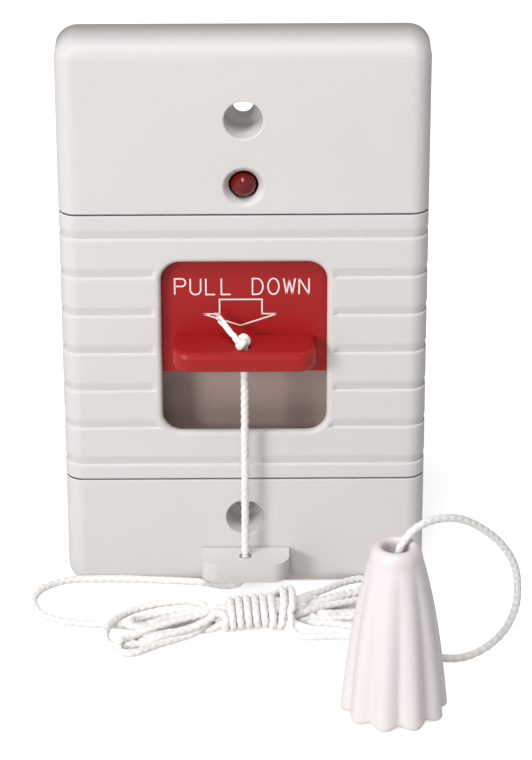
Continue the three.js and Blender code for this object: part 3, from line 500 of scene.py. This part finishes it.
def skin_point(s, b, depth):
    """A place on the plate's skin: s runs across it and round its sides, b runs up it and over its ends."""
    rise = max(0.0, b - (PLATE_H - EDGE)) + max(0.0, EDGE - b)
    tilt = min(rise / EDGE, math.pi / 2)
    z = b
    if tilt > 0:
        z = PLATE_H - EDGE + EDGE * math.sin(tilt) if b > EDGE else EDGE - EDGE * math.sin(tilt)
    front = EDGE * (1 - math.cos(tilt))
    radius = EDGE * math.cos(tilt)
    over = max(0.0, z - (PLATE_H - CORNER)) + max(0.0, CORNER - z)
    half = PLATE_W / 2 - CORNER + math.sqrt(max(0.0, CORNER**2 - over**2))
    side = math.copysign(1, s)
    along = abs(s)
    if along <= FLAT:
        x, y, nx, ny = along * (half - radius) / FLAT, front, 0.0, 1.0
    elif along <= FLAT + ARC:
        angle = (along - FLAT) / EDGE
        x, y = half - radius + radius * math.sin(angle), front + radius * (1 - math.cos(angle))
        nx, ny = -math.sin(angle), math.cos(angle)
    else:
        share = (along - FLAT - ARC) / (PLATE_D - EDGE)
        x, y, nx, ny = half, front + radius + share * (PLATE_D - front - radius), -1.0, 0.0
    nz = -math.sin(tilt) * (1 if b > EDGE else -1)
    lean = math.cos(tilt)
    return (
        side * (x + nx * lean * depth),
        FRONT_Y + y + ny * lean * depth,
        z + nz * depth,
    )


def cover(name, levels, holes, depth_of, outlines, rings):
    """One cover: a triangulated skin with its holes, the walls of the holes, and thickness behind it."""
    across = [FLAT - 6, FLAT - 0.5] + [FLAT + ARC * k / 12 for k in range(13)] + [FLAT + ARC + 0.5, SIDE]
    columns = sorted({-s for s in across} | {0.0} | set(across))
    levels = sorted(set(round(b, 4) for b in levels))
    points, edges = [], []

    def line(path, closed=False):
        first, count = len(points), len(path)
        points.extend(Vector(p) for p in path)
        edges.extend((first + k, first + k + 1) for k in range(count - 1))
        if closed:
            edges.append((first + count - 1, first))

    for b in levels:
        line([(s, b) for s in (-SIDE, SIDE)])
    for s in columns:
        line([(s, b) for b in (levels[0], levels[-1])])
    for outline in outlines:
        line(outline, closed=True)
    flat, _, triangles, _, _, _ = delaunay_2d_cdt(points, edges, [], 0, CLEAN)
    s, b = np.array([p.x for p in flat]), np.array([p.y for p in flat])
    made = bmesh.new()
    place = made.verts.layers.float.new("place")
    vertices = []
    for row in zip(s, b, depth_of(s, b)):
        vertex = made.verts.new(skin_point(*row))
        vertex[place] = row[0]
        vertices.append(vertex)
    for face in triangles:
        x, z = (sum(values[k] for k in face) / 3 for values in (s, b))
        if all(hole(x, z) > 0 for hole in holes):
            made.faces.new([vertices[k] for k in face])
    for vertex in [v for v in made.verts if not v.link_faces]:
        made.verts.remove(vertex)
    bmesh.ops.remove_doubles(made, verts=made.verts, dist=1e-3)
    for end, reached in ((PLATE_H, levels[-1] > PLATE_H), (0.0, levels[0] < 0)):
        if reached:
            rim = sorted((v for v in made.verts if abs(v.co.z - end) < 1e-3), key=lambda v: v[place])
            made.faces.new(rim)
    for test, steps in rings:
        loop = [e for e in made.edges if e.is_boundary and all(test(v.co.x, v.co.z) for v in e.verts)]
        for move in steps:
            grown = bmesh.ops.extrude_edge_only(made, edges=loop)["geom"]
            for vertex in moved_vertices(grown):
                vertex.co = Vector(move(*vertex.co))
            loop = [e for e in grown if isinstance(e, bmesh.types.BMEdge)]
    bmesh.ops.recalc_face_normals(made, faces=made.faces)
    if sum(f.normal.y * f.calc_area() for f in made.faces if abs(f.normal.y) > 0.9) > 0:
        bmesh.ops.reverse_faces(made, faces=made.faces)
    piece = piece_of(name, made)
    piece.data.set_sharp_from_angle(angle=SHARP)
    thick = piece.modifiers.new("thickness", "SOLIDIFY")
    thick.thickness = WALL * MM
    thick.offset = -1
    return piece


def seam_rows(edge, inward):
    return [edge + inward * d for d in (0, 0.03, 0.08, 0.15, SEAM_EDGE, 0.5, 1.2)]


def groove_table():
    """Heights from the groove's lower edge and its depth there: a ramp that ends in a step below."""
    h = GROOVE_WIDTH
    rise = [-0.6, -0.16, -0.1, -0.06, -0.02, 0.04, 0.12, 0.5, h - 0.4, h - 0.1, h + 0.1, h + 0.5]
    deep = [0, 0, 0.04, 0.18, 0.42, 0.485, 0.465, 0.365, 0.11, 0.035, 0, 0]
    return rise, deep


def centre_cover():
    low, high = SEAM_LOW + SEAM / 2, SEAM_HIGH - SEAM / 2
    rise, deep = groove_table()
    middle = (low + high) / 2
    starts = [middle + (i - (GROOVES - 1) / 2) * GROOVE_PITCH - GROOVE_WIDTH / 2 for i in range(GROOVES)]
    levels = seam_rows(low, 1) + seam_rows(high, -1) + [z + r for z in starts for r in rise]
    window = (WINDOW_W, WINDOW_LOW, WINDOW_HIGH, WINDOW_CORNER)

    def depth_of(s, b):
        away = box_distance(s, b, *window)
        groove = sum(np.interp(b - z, rise, deep, left=0, right=0) for z in starts)
        fade = np.clip((away - LIP) / 1.1, 0, 1)
        groove = groove * fade * fade * (3 - 2 * fade)
        return groove + quarter(away, LIP) + quarter(np.minimum(b - low, high - b), SEAM_EDGE)

    grown = [0, 0.03, 0.1, 0.2, 0.34, 0.5, 0.7, 0.85, LIP, 1.15, 1.3, 1.45, 1.6, 1.75, 1.9, 2.1, 2.4]
    outlines = [box_outline(*window, grow) for grow in grown]
    on_edge = lambda x, z: abs(float(box_distance(x, z, *window))) < AT_RIM
    back = [lambda x, y, z: (x, FRONT_Y + LIP_BACK, z)]
    return cover("cover_centre", levels, [lambda x, z: box_distance(x, z, *window)], depth_of, outlines,
                 [(on_edge, back)])


WELL_R, WELL_DEPTH, HOLE_R, WELL_EDGE = 3.675, 7.1, 2.0, 0.3
WELL_ZS = (15.48, 98.82)
LAMP_Z = 85.46
RECESS_RADII = (2.8, 3.7, 3.85, 3.95, 4.05, 4.25)
RECESS_DEPTHS = (1.4, 0.27, 0.11, 0.04, 0.008, 0)


def well_rings(z0):
    """The wall of a screw well, its floor and the hole through it."""
    def step(radius, depth):
        def move(x, y, z):
            share = radius / max(math.hypot(x, z - z0), 1e-6)
            return x * share, FRONT_Y + depth, z0 + (z - z0) * share
        return move

    test = lambda x, z: abs(math.hypot(x, z - z0) - WELL_R) < AT_RIM
    return test, [
        step(WELL_R, 0.8),
        step(WELL_R, WELL_DEPTH - 0.5),
        step(WELL_R - 0.15, WELL_DEPTH - 0.12),
        step(WELL_R - 0.5, WELL_DEPTH),
        step(HOLE_R + 0.25, WELL_DEPTH),
        step(HOLE_R, WELL_DEPTH + 0.25),
        step(HOLE_R, WELL_DEPTH + 1),
        step(HOLE_R, PLATE_D),
    ]


def end_cover(name, levels, well_z, lamp):
    seam = levels[0] if lamp else levels[-1]

    def depth_of(s, b):
        away = np.hypot(s, b - well_z) - WELL_R
        depth = quarter(away, WELL_EDGE) + quarter(np.abs(b - seam), SEAM_EDGE)
        if lamp:
            depth += np.interp(np.hypot(s, b - LAMP_Z), RECESS_RADII, RECESS_DEPTHS)
        return depth

    outlines = [circle(0, well_z, WELL_R + d) for d in (0, 0.02, 0.06, 0.12, 0.2, WELL_EDGE, 0.6, 2)]
    holes = [lambda x, z: math.hypot(x, z - well_z) - WELL_R]
    rings = [well_rings(well_z)]
    if lamp:
        outlines += [circle(0, LAMP_Z, r) for r in RECESS_RADII]
        holes.append(lambda x, z: math.hypot(x, z - LAMP_Z) - RECESS_RADII[0])
        test = lambda x, z: abs(math.hypot(x, z - LAMP_Z) - RECESS_RADII[0]) < AT_RIM
        rings.append((test, [lambda x, y, z: (x, FRONT_Y + 2.2, z)]))
    return cover(name, levels, holes, depth_of, outlines, rings)


def curl(edge, outward):
    """Rows that run over a rounded end of the plate."""
    return [edge - outward * 0.5] + [edge + outward * ARC * k / 12 for k in range(13)]


def top_cover():
    seam = SEAM_HIGH + SEAM / 2
    between = list(np.linspace(seam + 4, PLATE_H - EDGE - 2, 6))
    levels = seam_rows(seam, 1) + between + curl(PLATE_H - EDGE, 1)
    return end_cover("cover_top", sorted(levels), WELL_ZS[1], True)


def bottom_cover():
    seam = SEAM_LOW - SEAM / 2
    between = list(np.linspace(EDGE + 2, seam - 3, 5))
    levels = seam_rows(seam, -1) + between + curl(EDGE, -1)
    return end_cover("cover_bottom", sorted(levels), WELL_ZS[0], False)


finish_piece(centre_cover(), COVER, "root", "cover_white", "centre_cover")
finish_piece(top_cover(), COVER, "root", "cover_white", "top_cover")
finish_piece(bottom_cover(), COVER, "root", "cover_white", "bottom_cover")


# Pull bell
BELL_X, BELL_Y, BELL_H = 27.4, -55.0, 34.0
FLUTES, FLUTE_DEPTH, BELL_TURN = 10, 0.85, math.radians(-13.5)
SHOULDER, RIM = 2.6, 3.3  # height of the rounded shoulder, and radius of the ring that it ends in
BELL_SIDES = 240
HEM_REACH, HEM_LIFT = 6.0, 1.1  # the hem rises between the flutes, over this height and by this much


def bell_radius(z):
    rise = z / BELL_H
    return 9.2 - 2.7 * rise - 2.3 * rise**3


def bell_profile():
    """Outer wall from the hem up, rounded mouth of the hole, then the inner wall back down."""
    profile = [(bell_radius(0) - 0.7, 0.02), (bell_radius(0) - 0.25, 0.12), (bell_radius(0.4), 0.45)]
    profile += [(bell_radius(z), z) for z in np.linspace(1.1, BELL_H - SHOULDER, 46)]
    outer = bell_radius(BELL_H - SHOULDER) - RIM
    for angle in np.linspace(8, 90, 12):
        a = math.radians(angle)
        profile.append((RIM + outer * math.cos(a), BELL_H - SHOULDER + SHOULDER * math.sin(a)))
    for angle in np.linspace(75, 0, 8):
        a = math.radians(angle)
        profile.append((RIM - 0.85 * math.cos(a), BELL_H - 0.95 + 0.95 * math.sin(a)))
    profile += [(2.45, z) for z in (BELL_H - 1.6, BELL_H - 2.8, BELL_H - 4)]
    profile += [(2.6, BELL_H - 4.2), (bell_radius(BELL_H - 4.2) - 2, BELL_H - 4.3)]
    profile += [(bell_radius(z) - 1.4, z) for z in np.linspace(BELL_H - 5.4, 0.9, 30)]
    profile += [(bell_radius(0.3) - 1.2, 0.3)]
    return profile


def pull_bell():
    sides = BELL_SIDES
    vertices, faces = [], []
    profile = bell_profile()
    for radius, z in profile:
        fade = max(0.0, 1 - z / (0.93 * BELL_H))
        for k in range(sides):
            angle = 2 * math.pi * k / sides
            wave = 2 * math.sqrt(math.cos(FLUTES / 2 * (angle - BELL_TURN)) ** 2 + 0.12) / 1.058 - 1
            push = FLUTE_DEPTH * wave * fade**0.8
            lift = HEM_LIFT * (1 - wave) / 2 * max(0.0, 1 - z / HEM_REACH)
            r = radius + push
            vertices.append((BELL_X + r * math.sin(angle), BELL_Y - r * math.cos(angle), z + lift))
    rows = len(profile)
    for i in range(rows):
        for k in range(sides):
            a, b = i * sides + k, i * sides + (k + 1) % sides
            c, d = ((i + 1) % rows) * sides + (k + 1) % sides, ((i + 1) % rows) * sides + k
            faces.append((a, b, c, d))
    return new_mesh("bell_shell", vertices, faces)


bell = finish_piece(pull_bell(), BELL, "root", "bell_white", "pull_bell")


# Knots and the drop
def knot_curve(radius, flat, count=160):
    t = np.linspace(0, 2 * math.pi, count, endpoint=False)
    x = np.sin(t) + 2 * np.sin(2 * t)
    y = np.cos(t) - 2 * np.cos(2 * t)
    z = -np.sin(3 * t)
    return np.stack([x / 3 * radius, y / 3 * radius, z * flat], axis=1)


def knot_line(centre, radius, flat, tilt):
    line = knot_curve(radius, flat)
    turn = np.array(Matrix.Rotation(tilt, 3, "X"))
    line = line @ turn.T + np.array(centre)
    return np.concatenate([line, line[:2]])


end_knot, _ = braid("cord_end_knot_tied", knot_line((BELL_X, BELL_Y, 27.0), 1.75, 0.8, 0.4))
finish_piece(end_knot, CORD_WHITE, "root", "cord_white", "cord_end_knot")

drop_points = [(0, CORD_Y, z) for z in np.linspace(GUIDE_TOP + 0.6, SHELF_BOTTOM - 0.3, 12)]
drop, _ = braid("cord_drop_braid", smooth_path(drop_points, 0.4))
finish_piece(drop, CORD_WHITE, "root", "cord_white", "cord_drop")
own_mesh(drop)

TOP_KNOT = (-0.55, CORD_Y, SHELF_TOP + 1.3)
top_knot, _ = braid("cord_top_knot_tied", knot_line(TOP_KNOT, 1.25, 0.5, 0.35), 0.62)
finish_piece(top_knot, CORD_WHITE, "slider", "cord_white", "cord_top_knot")
through_points = [(0, CORD_Y, SHELF_BOTTOM - 0.25), (0, CORD_Y, SHELF_TOP + 0.7)]
through, _ = braid("cord_through_shelf", through_points, 0.72)
finish_piece(through, CORD_WHITE, "slider", "cord_white")

# The cord's loose end, parted in two strands that end in loose filaments
LOOSE_END = [
    (-1.3, CORD_Y + 0.2, 55.6), (-2.3, -12.5, 56.4), (-3.4, -11.2, 57.4), (-4.3, -10.3, 58),
    (-5.0, -9.7, 58.6),
]
FILAMENTS, FILAMENT_RADIUS = 7, 0.07


def loose_strand(name, points, aside, radius, begin, end):
    line = smooth_path(points, 0.2)
    share = np.linspace(0, 1, len(line))
    keep = (share >= begin) & (share <= end)
    offset = np.outer(0.5 + 0.5 * share, aside)
    wave = 0.05 * np.stack([np.sin(9 * share + aside[2] * 20), 0 * share, np.cos(7 * share)], axis=1)
    piece, _ = braid(name, (line + offset + wave)[keep], radius)
    return finish_piece(piece, CORD_WHITE, "slider", "cord_white")


loose_strand("cord_loose_strand_a", LOOSE_END, (0.24, 0.02, 0.3), 0.33, 0, 1)
loose_strand("cord_loose_strand_b", LOOSE_END, (-0.24, -0.02, -0.26), 0.33, 0, 0.93)
for k in range(FILAMENTS):
    spread = np.array([0.22 * math.cos(k * 2.4), 0.1 * math.sin(k * 1.7), 0.26 * math.sin(k * 2.4)])
    tip = np.array(LOOSE_END[-1]) + spread * 2.2 + [-0.35 - 0.05 * (k % 3), 0.1, 0.42 + 0.07 * (k % 4)]
    root = np.array(LOOSE_END[-1]) + spread + [0.3, -0.2, -0.4]
    line = smooth_path([root, (root + tip) / 2 + spread * 0.3, tip], 0.15)
    filament, _ = braid(f"cord_filament_{k}", line, FILAMENT_RADIUS)
    finish_piece(filament, CORD_WHITE, "slider", "cord_white")


# Cord guide
GUIDE_W, GUIDE_BOTTOM, GUIDE_REACH, GUIDE_CORNER, GUIDE_HOLE = 17.2, 4.9, 7.3, 3.6, 1.2
PEG_X, PEG_Z, PEG_SIDES = 5, 6.9, 32
PEG_STATIONS = ((FRONT_Y - 0.6, 1.5), (FRONT_Y + 3.1, 1.5), (FRONT_Y + 3.4, 1.2))  # depth and radius


def ring_points(radius, sides):
    turn = 2 * math.pi
    return [(radius * math.cos(turn * k / sides), radius * math.sin(turn * k / sides)) for k in range(sides)]


def cord_guide():
    """A block with rounded front corners, a hole for the cord, and two pegs into the cover behind it."""
    half = GUIDE_W / 2
    back, front = FRONT_Y - 0.3, FRONT_Y - GUIDE_REACH
    outline = [(half, back), (-half, back)]
    for sx, first in ((-1, 180), (1, 270)):
        for angle in np.linspace(first, first + 90, 25):
            a = math.radians(angle)
            outline.append((sx * (half - GUIDE_CORNER) + GUIDE_CORNER * math.cos(a),
                            front + GUIDE_CORNER + GUIDE_CORNER * math.sin(a)))
    sides = 48
    hole = [(x, CORD_Y + y) for x, y in ring_points(GUIDE_HOLE, sides)]
    points = [Vector(p) for p in outline + hole]
    count = len(outline)
    edges = [(k, (k + 1) % count) for k in range(count)]
    edges += [(count + k, count + (k + 1) % sides) for k in range(sides)]
    flat, _, triangles, _, _, _ = delaunay_2d_cdt(points, edges, [], 0, CLEAN)
    made = bmesh.new()
    low = [made.verts.new((p.x, p.y, GUIDE_BOTTOM)) for p in flat]
    inside = lambda x, y: math.hypot(x, y - CORD_Y) > GUIDE_HOLE and abs(x) <= half
    for face in triangles:
        x, y = (sum(flat[k][axis] for k in face) / 3 for axis in (0, 1))
        if inside(x, y):
            made.faces.new([low[k] for k in face])
    grown = bmesh.ops.extrude_face_region(made, geom=list(made.faces))["geom"]
    for vertex in moved_vertices(grown):
        vertex.co.z = GUIDE_TOP
    bmesh.ops.recalc_face_normals(made, faces=made.faces)
    for peg in (-PEG_X, PEG_X):
        rings = []
        for y, radius in PEG_STATIONS:
            rings.append([made.verts.new((peg + x, y, PEG_Z + z)) for x, z in ring_points(radius, PEG_SIDES)])
        made.faces.new(rings[0])
        made.faces.new(rings[-1][::-1])
        join_rings(made, rings)
    piece = piece_of("cord_guide_fine", made)
    round_edges(piece, 0.35, 4)
    return piece


finish_piece(cord_guide(), COVER, "root", "cover_white", "cord_guide")


# Print on the slider
PRINT_Y, PRINT_LINE, PRINT_DEPTH = -7.345, 0.28, 0.04
LETTER_W, LETTER_H, LETTER_PITCH = 2.2, 3.3, 2.96


def bow(x, z, rx, rz, first, last, count=12):
    return [(x + rx * math.cos(math.radians(a)), z + rz * math.sin(math.radians(a)))
            for a in np.linspace(first, last, count)]


LETTERS = {
    "P": [[(0, 0), (0, 1), (0.6, 1), *bow(0.62, 0.76, 0.3, 0.24, 90, -90), (0, 0.52)]],
    "U": [[(0, 1), *bow(0.45, 0.3, 0.45, 0.3, 180, 360), (0.9, 1)]],
    "L": [[(0, 1), (0, 0), (0.8, 0)]],
    "D": [[(0, 0), (0, 1), (0.35, 1), *bow(0.4, 0.5, 0.5, 0.5, 90, -90), (0, 0)]],
    "O": [bow(0.47, 0.5, 0.47, 0.5, 90, 450, 33)],
    "W": [[(0, 1), (0.25, 0)], [(0.25, 0), (0.5, 0.9)], [(0.5, 0.9), (0.75, 0)], [(0.75, 0), (1, 1)]],
    "N": [[(0, 0), (0, 1)], [(0, 1), (0.85, 0)], [(0.85, 0), (0.85, 1)]],
}


def stroke(made, points):
    """A flat line of print with mitred joints, closed at both ends."""
    line = np.array(points, float)
    closed = np.allclose(line[0], line[-1])
    rims = []
    for k in range(len(line)):
        last = k + 1 == len(line)
        back = k if k else (len(line) - 1 if closed else 1)
        ahead = k if not last else (0 if closed else k - 1)
        before, after = line[back] - line[back - 1], line[ahead + 1] - line[ahead]
        before, after = before / np.linalg.norm(before), after / np.linalg.norm(after)
        along = before + after
        along /= max(np.linalg.norm(along), 1e-6)
        side = np.array([-along[1], along[0]]) * PRINT_LINE / 2 / max(0.45, along.dot(before))
        rims.append([made.verts.new((x, y, z)) for (x, z), y in (
            (line[k] + side, PRINT_Y), (line[k] - side, PRINT_Y),
            (line[k] - side, PRINT_Y + PRINT_DEPTH), (line[k] + side, PRINT_Y + PRINT_DEPTH))])
    if closed:
        for vertex in rims[-1]:
            made.verts.remove(vertex)
        rims[-1] = rims[0]
    else:
        made.faces.new(rims[0])
        made.faces.new(rims[-1][::-1])
    join_rings(made, rims)


def print_piece(name, strokes):
    made = bmesh.new()
    for points in strokes:
        stroke(made, points)
    bmesh.ops.recalc_face_normals(made, faces=made.faces)
    return finish_piece(piece_of(name, made, smooth=False), PRINT_WHITE, "slider", None)


def word_strokes(text, left, base):
    for number, letter in enumerate(text):
        for points in LETTERS.get(letter, []):
            x = left + number * LETTER_PITCH
            yield [(x + LETTER_W * u, base + LETTER_H * v) for u, v in points]


PRINT_WHITE = moulded("print_ink", (246, 240, 238), 0.5, bump=0.02, mottle=0.02)
ARROW = [
    [(-4.7, 58.35), (-4.7, 61.35), (3.4, 61.35), (3.4, 58.35)], [(3.25, 58.35), (6.2, 58.3)],
    [(6.2, 58.3), (-0.7, 55.9), (-7.8, 58.3)], [(-7.8, 58.3), (-4.55, 58.35)],
]
print_piece("print_words", list(word_strokes("PULL DOWN", -13.2, 62.4)))
print_piece("print_arrow", ARROW)

# Finishes of the solids that stay
FINISHES = {
    "cover_white": COVER,
    "frame_grey": FRAME,
    "slider_red": RED,
    "lamp_red": moulded("lamp_lens", (106, 8, 10), 0.1, bump=0.0, specular=0.4),
    "steel": moulded("screw_steel", (196, 197, 199), 0.35, bump=0.05, metallic=1.0),
    "switch_black": moulded("switch_plastic", (34, 34, 36), 0.5),
    "board_green": moulded("board_lacquer", (30, 92, 56), 0.35, bump=0.03, mottle=0.08),
    "terminal_green": moulded("terminal_plastic", (52, 132, 80), 0.45),
    "resistor_tan": moulded("resistor_body", (206, 176, 128), 0.5),
    "cord_white": CORD_WHITE,
    "bell_white": BELL,
}
SLOTS = {row["node"]: row["material_slot"] for row in frame["record"]["subparts"]}
for node, piece in frame["nodes"].items():
    piece.data.materials.clear()
    piece.data.materials.append(FINISHES[SLOTS[node]])
    piece.data.polygons.foreach_set("use_smooth", [True] * len(piece.data.polygons))
    round_edges(piece, 0.12, 2)
    piece.data.set_sharp_from_angle(angle=SHARP)

# Floor, backdrop and light
FLOOR_REACH, FLOOR_Z = 900, -0.05
CORNERS = ((-1, -1), (1, -1), (1, 1), (-1, 1))
floor_corners = [(sx * FLOOR_REACH, sy * FLOOR_REACH, FLOOR_Z) for sx, sy in CORNERS]
floor = new_mesh("floor", floor_corners, [(0, 1, 2, 3)])
paper = bpy.data.materials.new("white_table")
paper.use_nodes = True
tree = paper.node_tree
nodes, links = tree.nodes, tree.links
shader = nodes["Principled BSDF"]
shader.inputs["Base Color"].default_value = (0.8, 0.8, 0.8, 1)
shader.inputs["Roughness"].default_value = 0.9
glow = nodes.new("ShaderNodeEmission")
glow.inputs["Strength"].default_value = 0.7
both = nodes.new("ShaderNodeAddShader")
seen = nodes.new("ShaderNodeLightPath")
pick = nodes.new("ShaderNodeMixShader")
links.new(shader.outputs[0], both.inputs[0])
links.new(glow.outputs[0], both.inputs[1])
links.new(seen.outputs["Is Camera Ray"], pick.inputs["Fac"])
links.new(shader.outputs[0], pick.inputs[1])
links.new(both.outputs[0], pick.inputs[2])
links.new(pick.outputs[0], nodes["Material Output"].inputs["Surface"])
floor.data.materials.append(paper)

world = bpy.data.worlds.new("studio")
bpy.context.scene.world = world
world.use_nodes = True
tree = world.node_tree
nodes, links = tree.nodes, tree.links
sky = nodes["Background"]
sky.inputs["Color"].default_value = (1, 1, 1, 1)
sky.inputs["Strength"].default_value = 0.2
white = nodes.new("ShaderNodeBackground")
white.inputs["Strength"].default_value = 1.0
seen = nodes.new("ShaderNodeLightPath")
pick = nodes.new("ShaderNodeMixShader")
either = nodes.new("ShaderNodeMath")
either.operation = "MAXIMUM"
links.new(seen.outputs["Is Camera Ray"], either.inputs[0])
links.new(seen.outputs["Is Glossy Ray"], either.inputs[1])
links.new(either.outputs[0], pick.inputs["Fac"])
links.new(sky.outputs[0], pick.inputs[1])
links.new(white.outputs[0], pick.inputs[2])
links.new(pick.outputs[0], nodes["World Output"].inputs["Surface"])


def area_light(name, place, aim, size, power):
    lamp = bpy.data.lights.new(name, "AREA")
    lamp.shape = "DISK"
    lamp.size = size
    lamp.energy = power
    holder = bpy.data.objects.new(name, lamp)
    holder.location = place
    direction = Vector(aim) - Vector(place)
    holder.rotation_euler = direction.to_track_quat("-Z", "Y").to_euler()
    bpy.context.scene.collection.objects.link(holder)


area_light("key", (-0.93, -1.0, 0.5), (0, 0, 0.05), 0.42, 9.6)
area_light("fill", (-0.2, -0.7, 1.3), (0, 0, 0.05), 0.7, 12.5)

# Camera
YAW, PITCH, ROLL = math.radians(0.404), math.radians(25.974), math.radians(-0.107)
SENSOR, FOCAL_PIXELS, FRAME_PIXELS = 36, 3384, 760
CAMERA_PLACE = (0, -0.594, 0.33005)
camera_data = bpy.data.cameras.new("photo")
camera_data.sensor_width = SENSOR
camera_data.lens = SENSOR * FOCAL_PIXELS / FRAME_PIXELS
camera = bpy.data.objects.new("photo", camera_data)
forward = Vector((math.sin(YAW) * math.cos(PITCH), math.cos(YAW) * math.cos(PITCH), -math.sin(PITCH)))
level = Vector((math.cos(YAW), -math.sin(YAW), 0))
above = level.cross(forward)
right = level * math.cos(ROLL) + above * math.sin(ROLL)
up = right.cross(forward)
turn = Matrix((right, up, -forward)).transposed().to_4x4()
turn.translation = Vector(CAMERA_PLACE)
camera.matrix_world = turn
bpy.context.scene.collection.objects.link(camera)
bpy.context.scene.camera = camera
bpy.context.scene.view_settings.view_transform = "Standard"
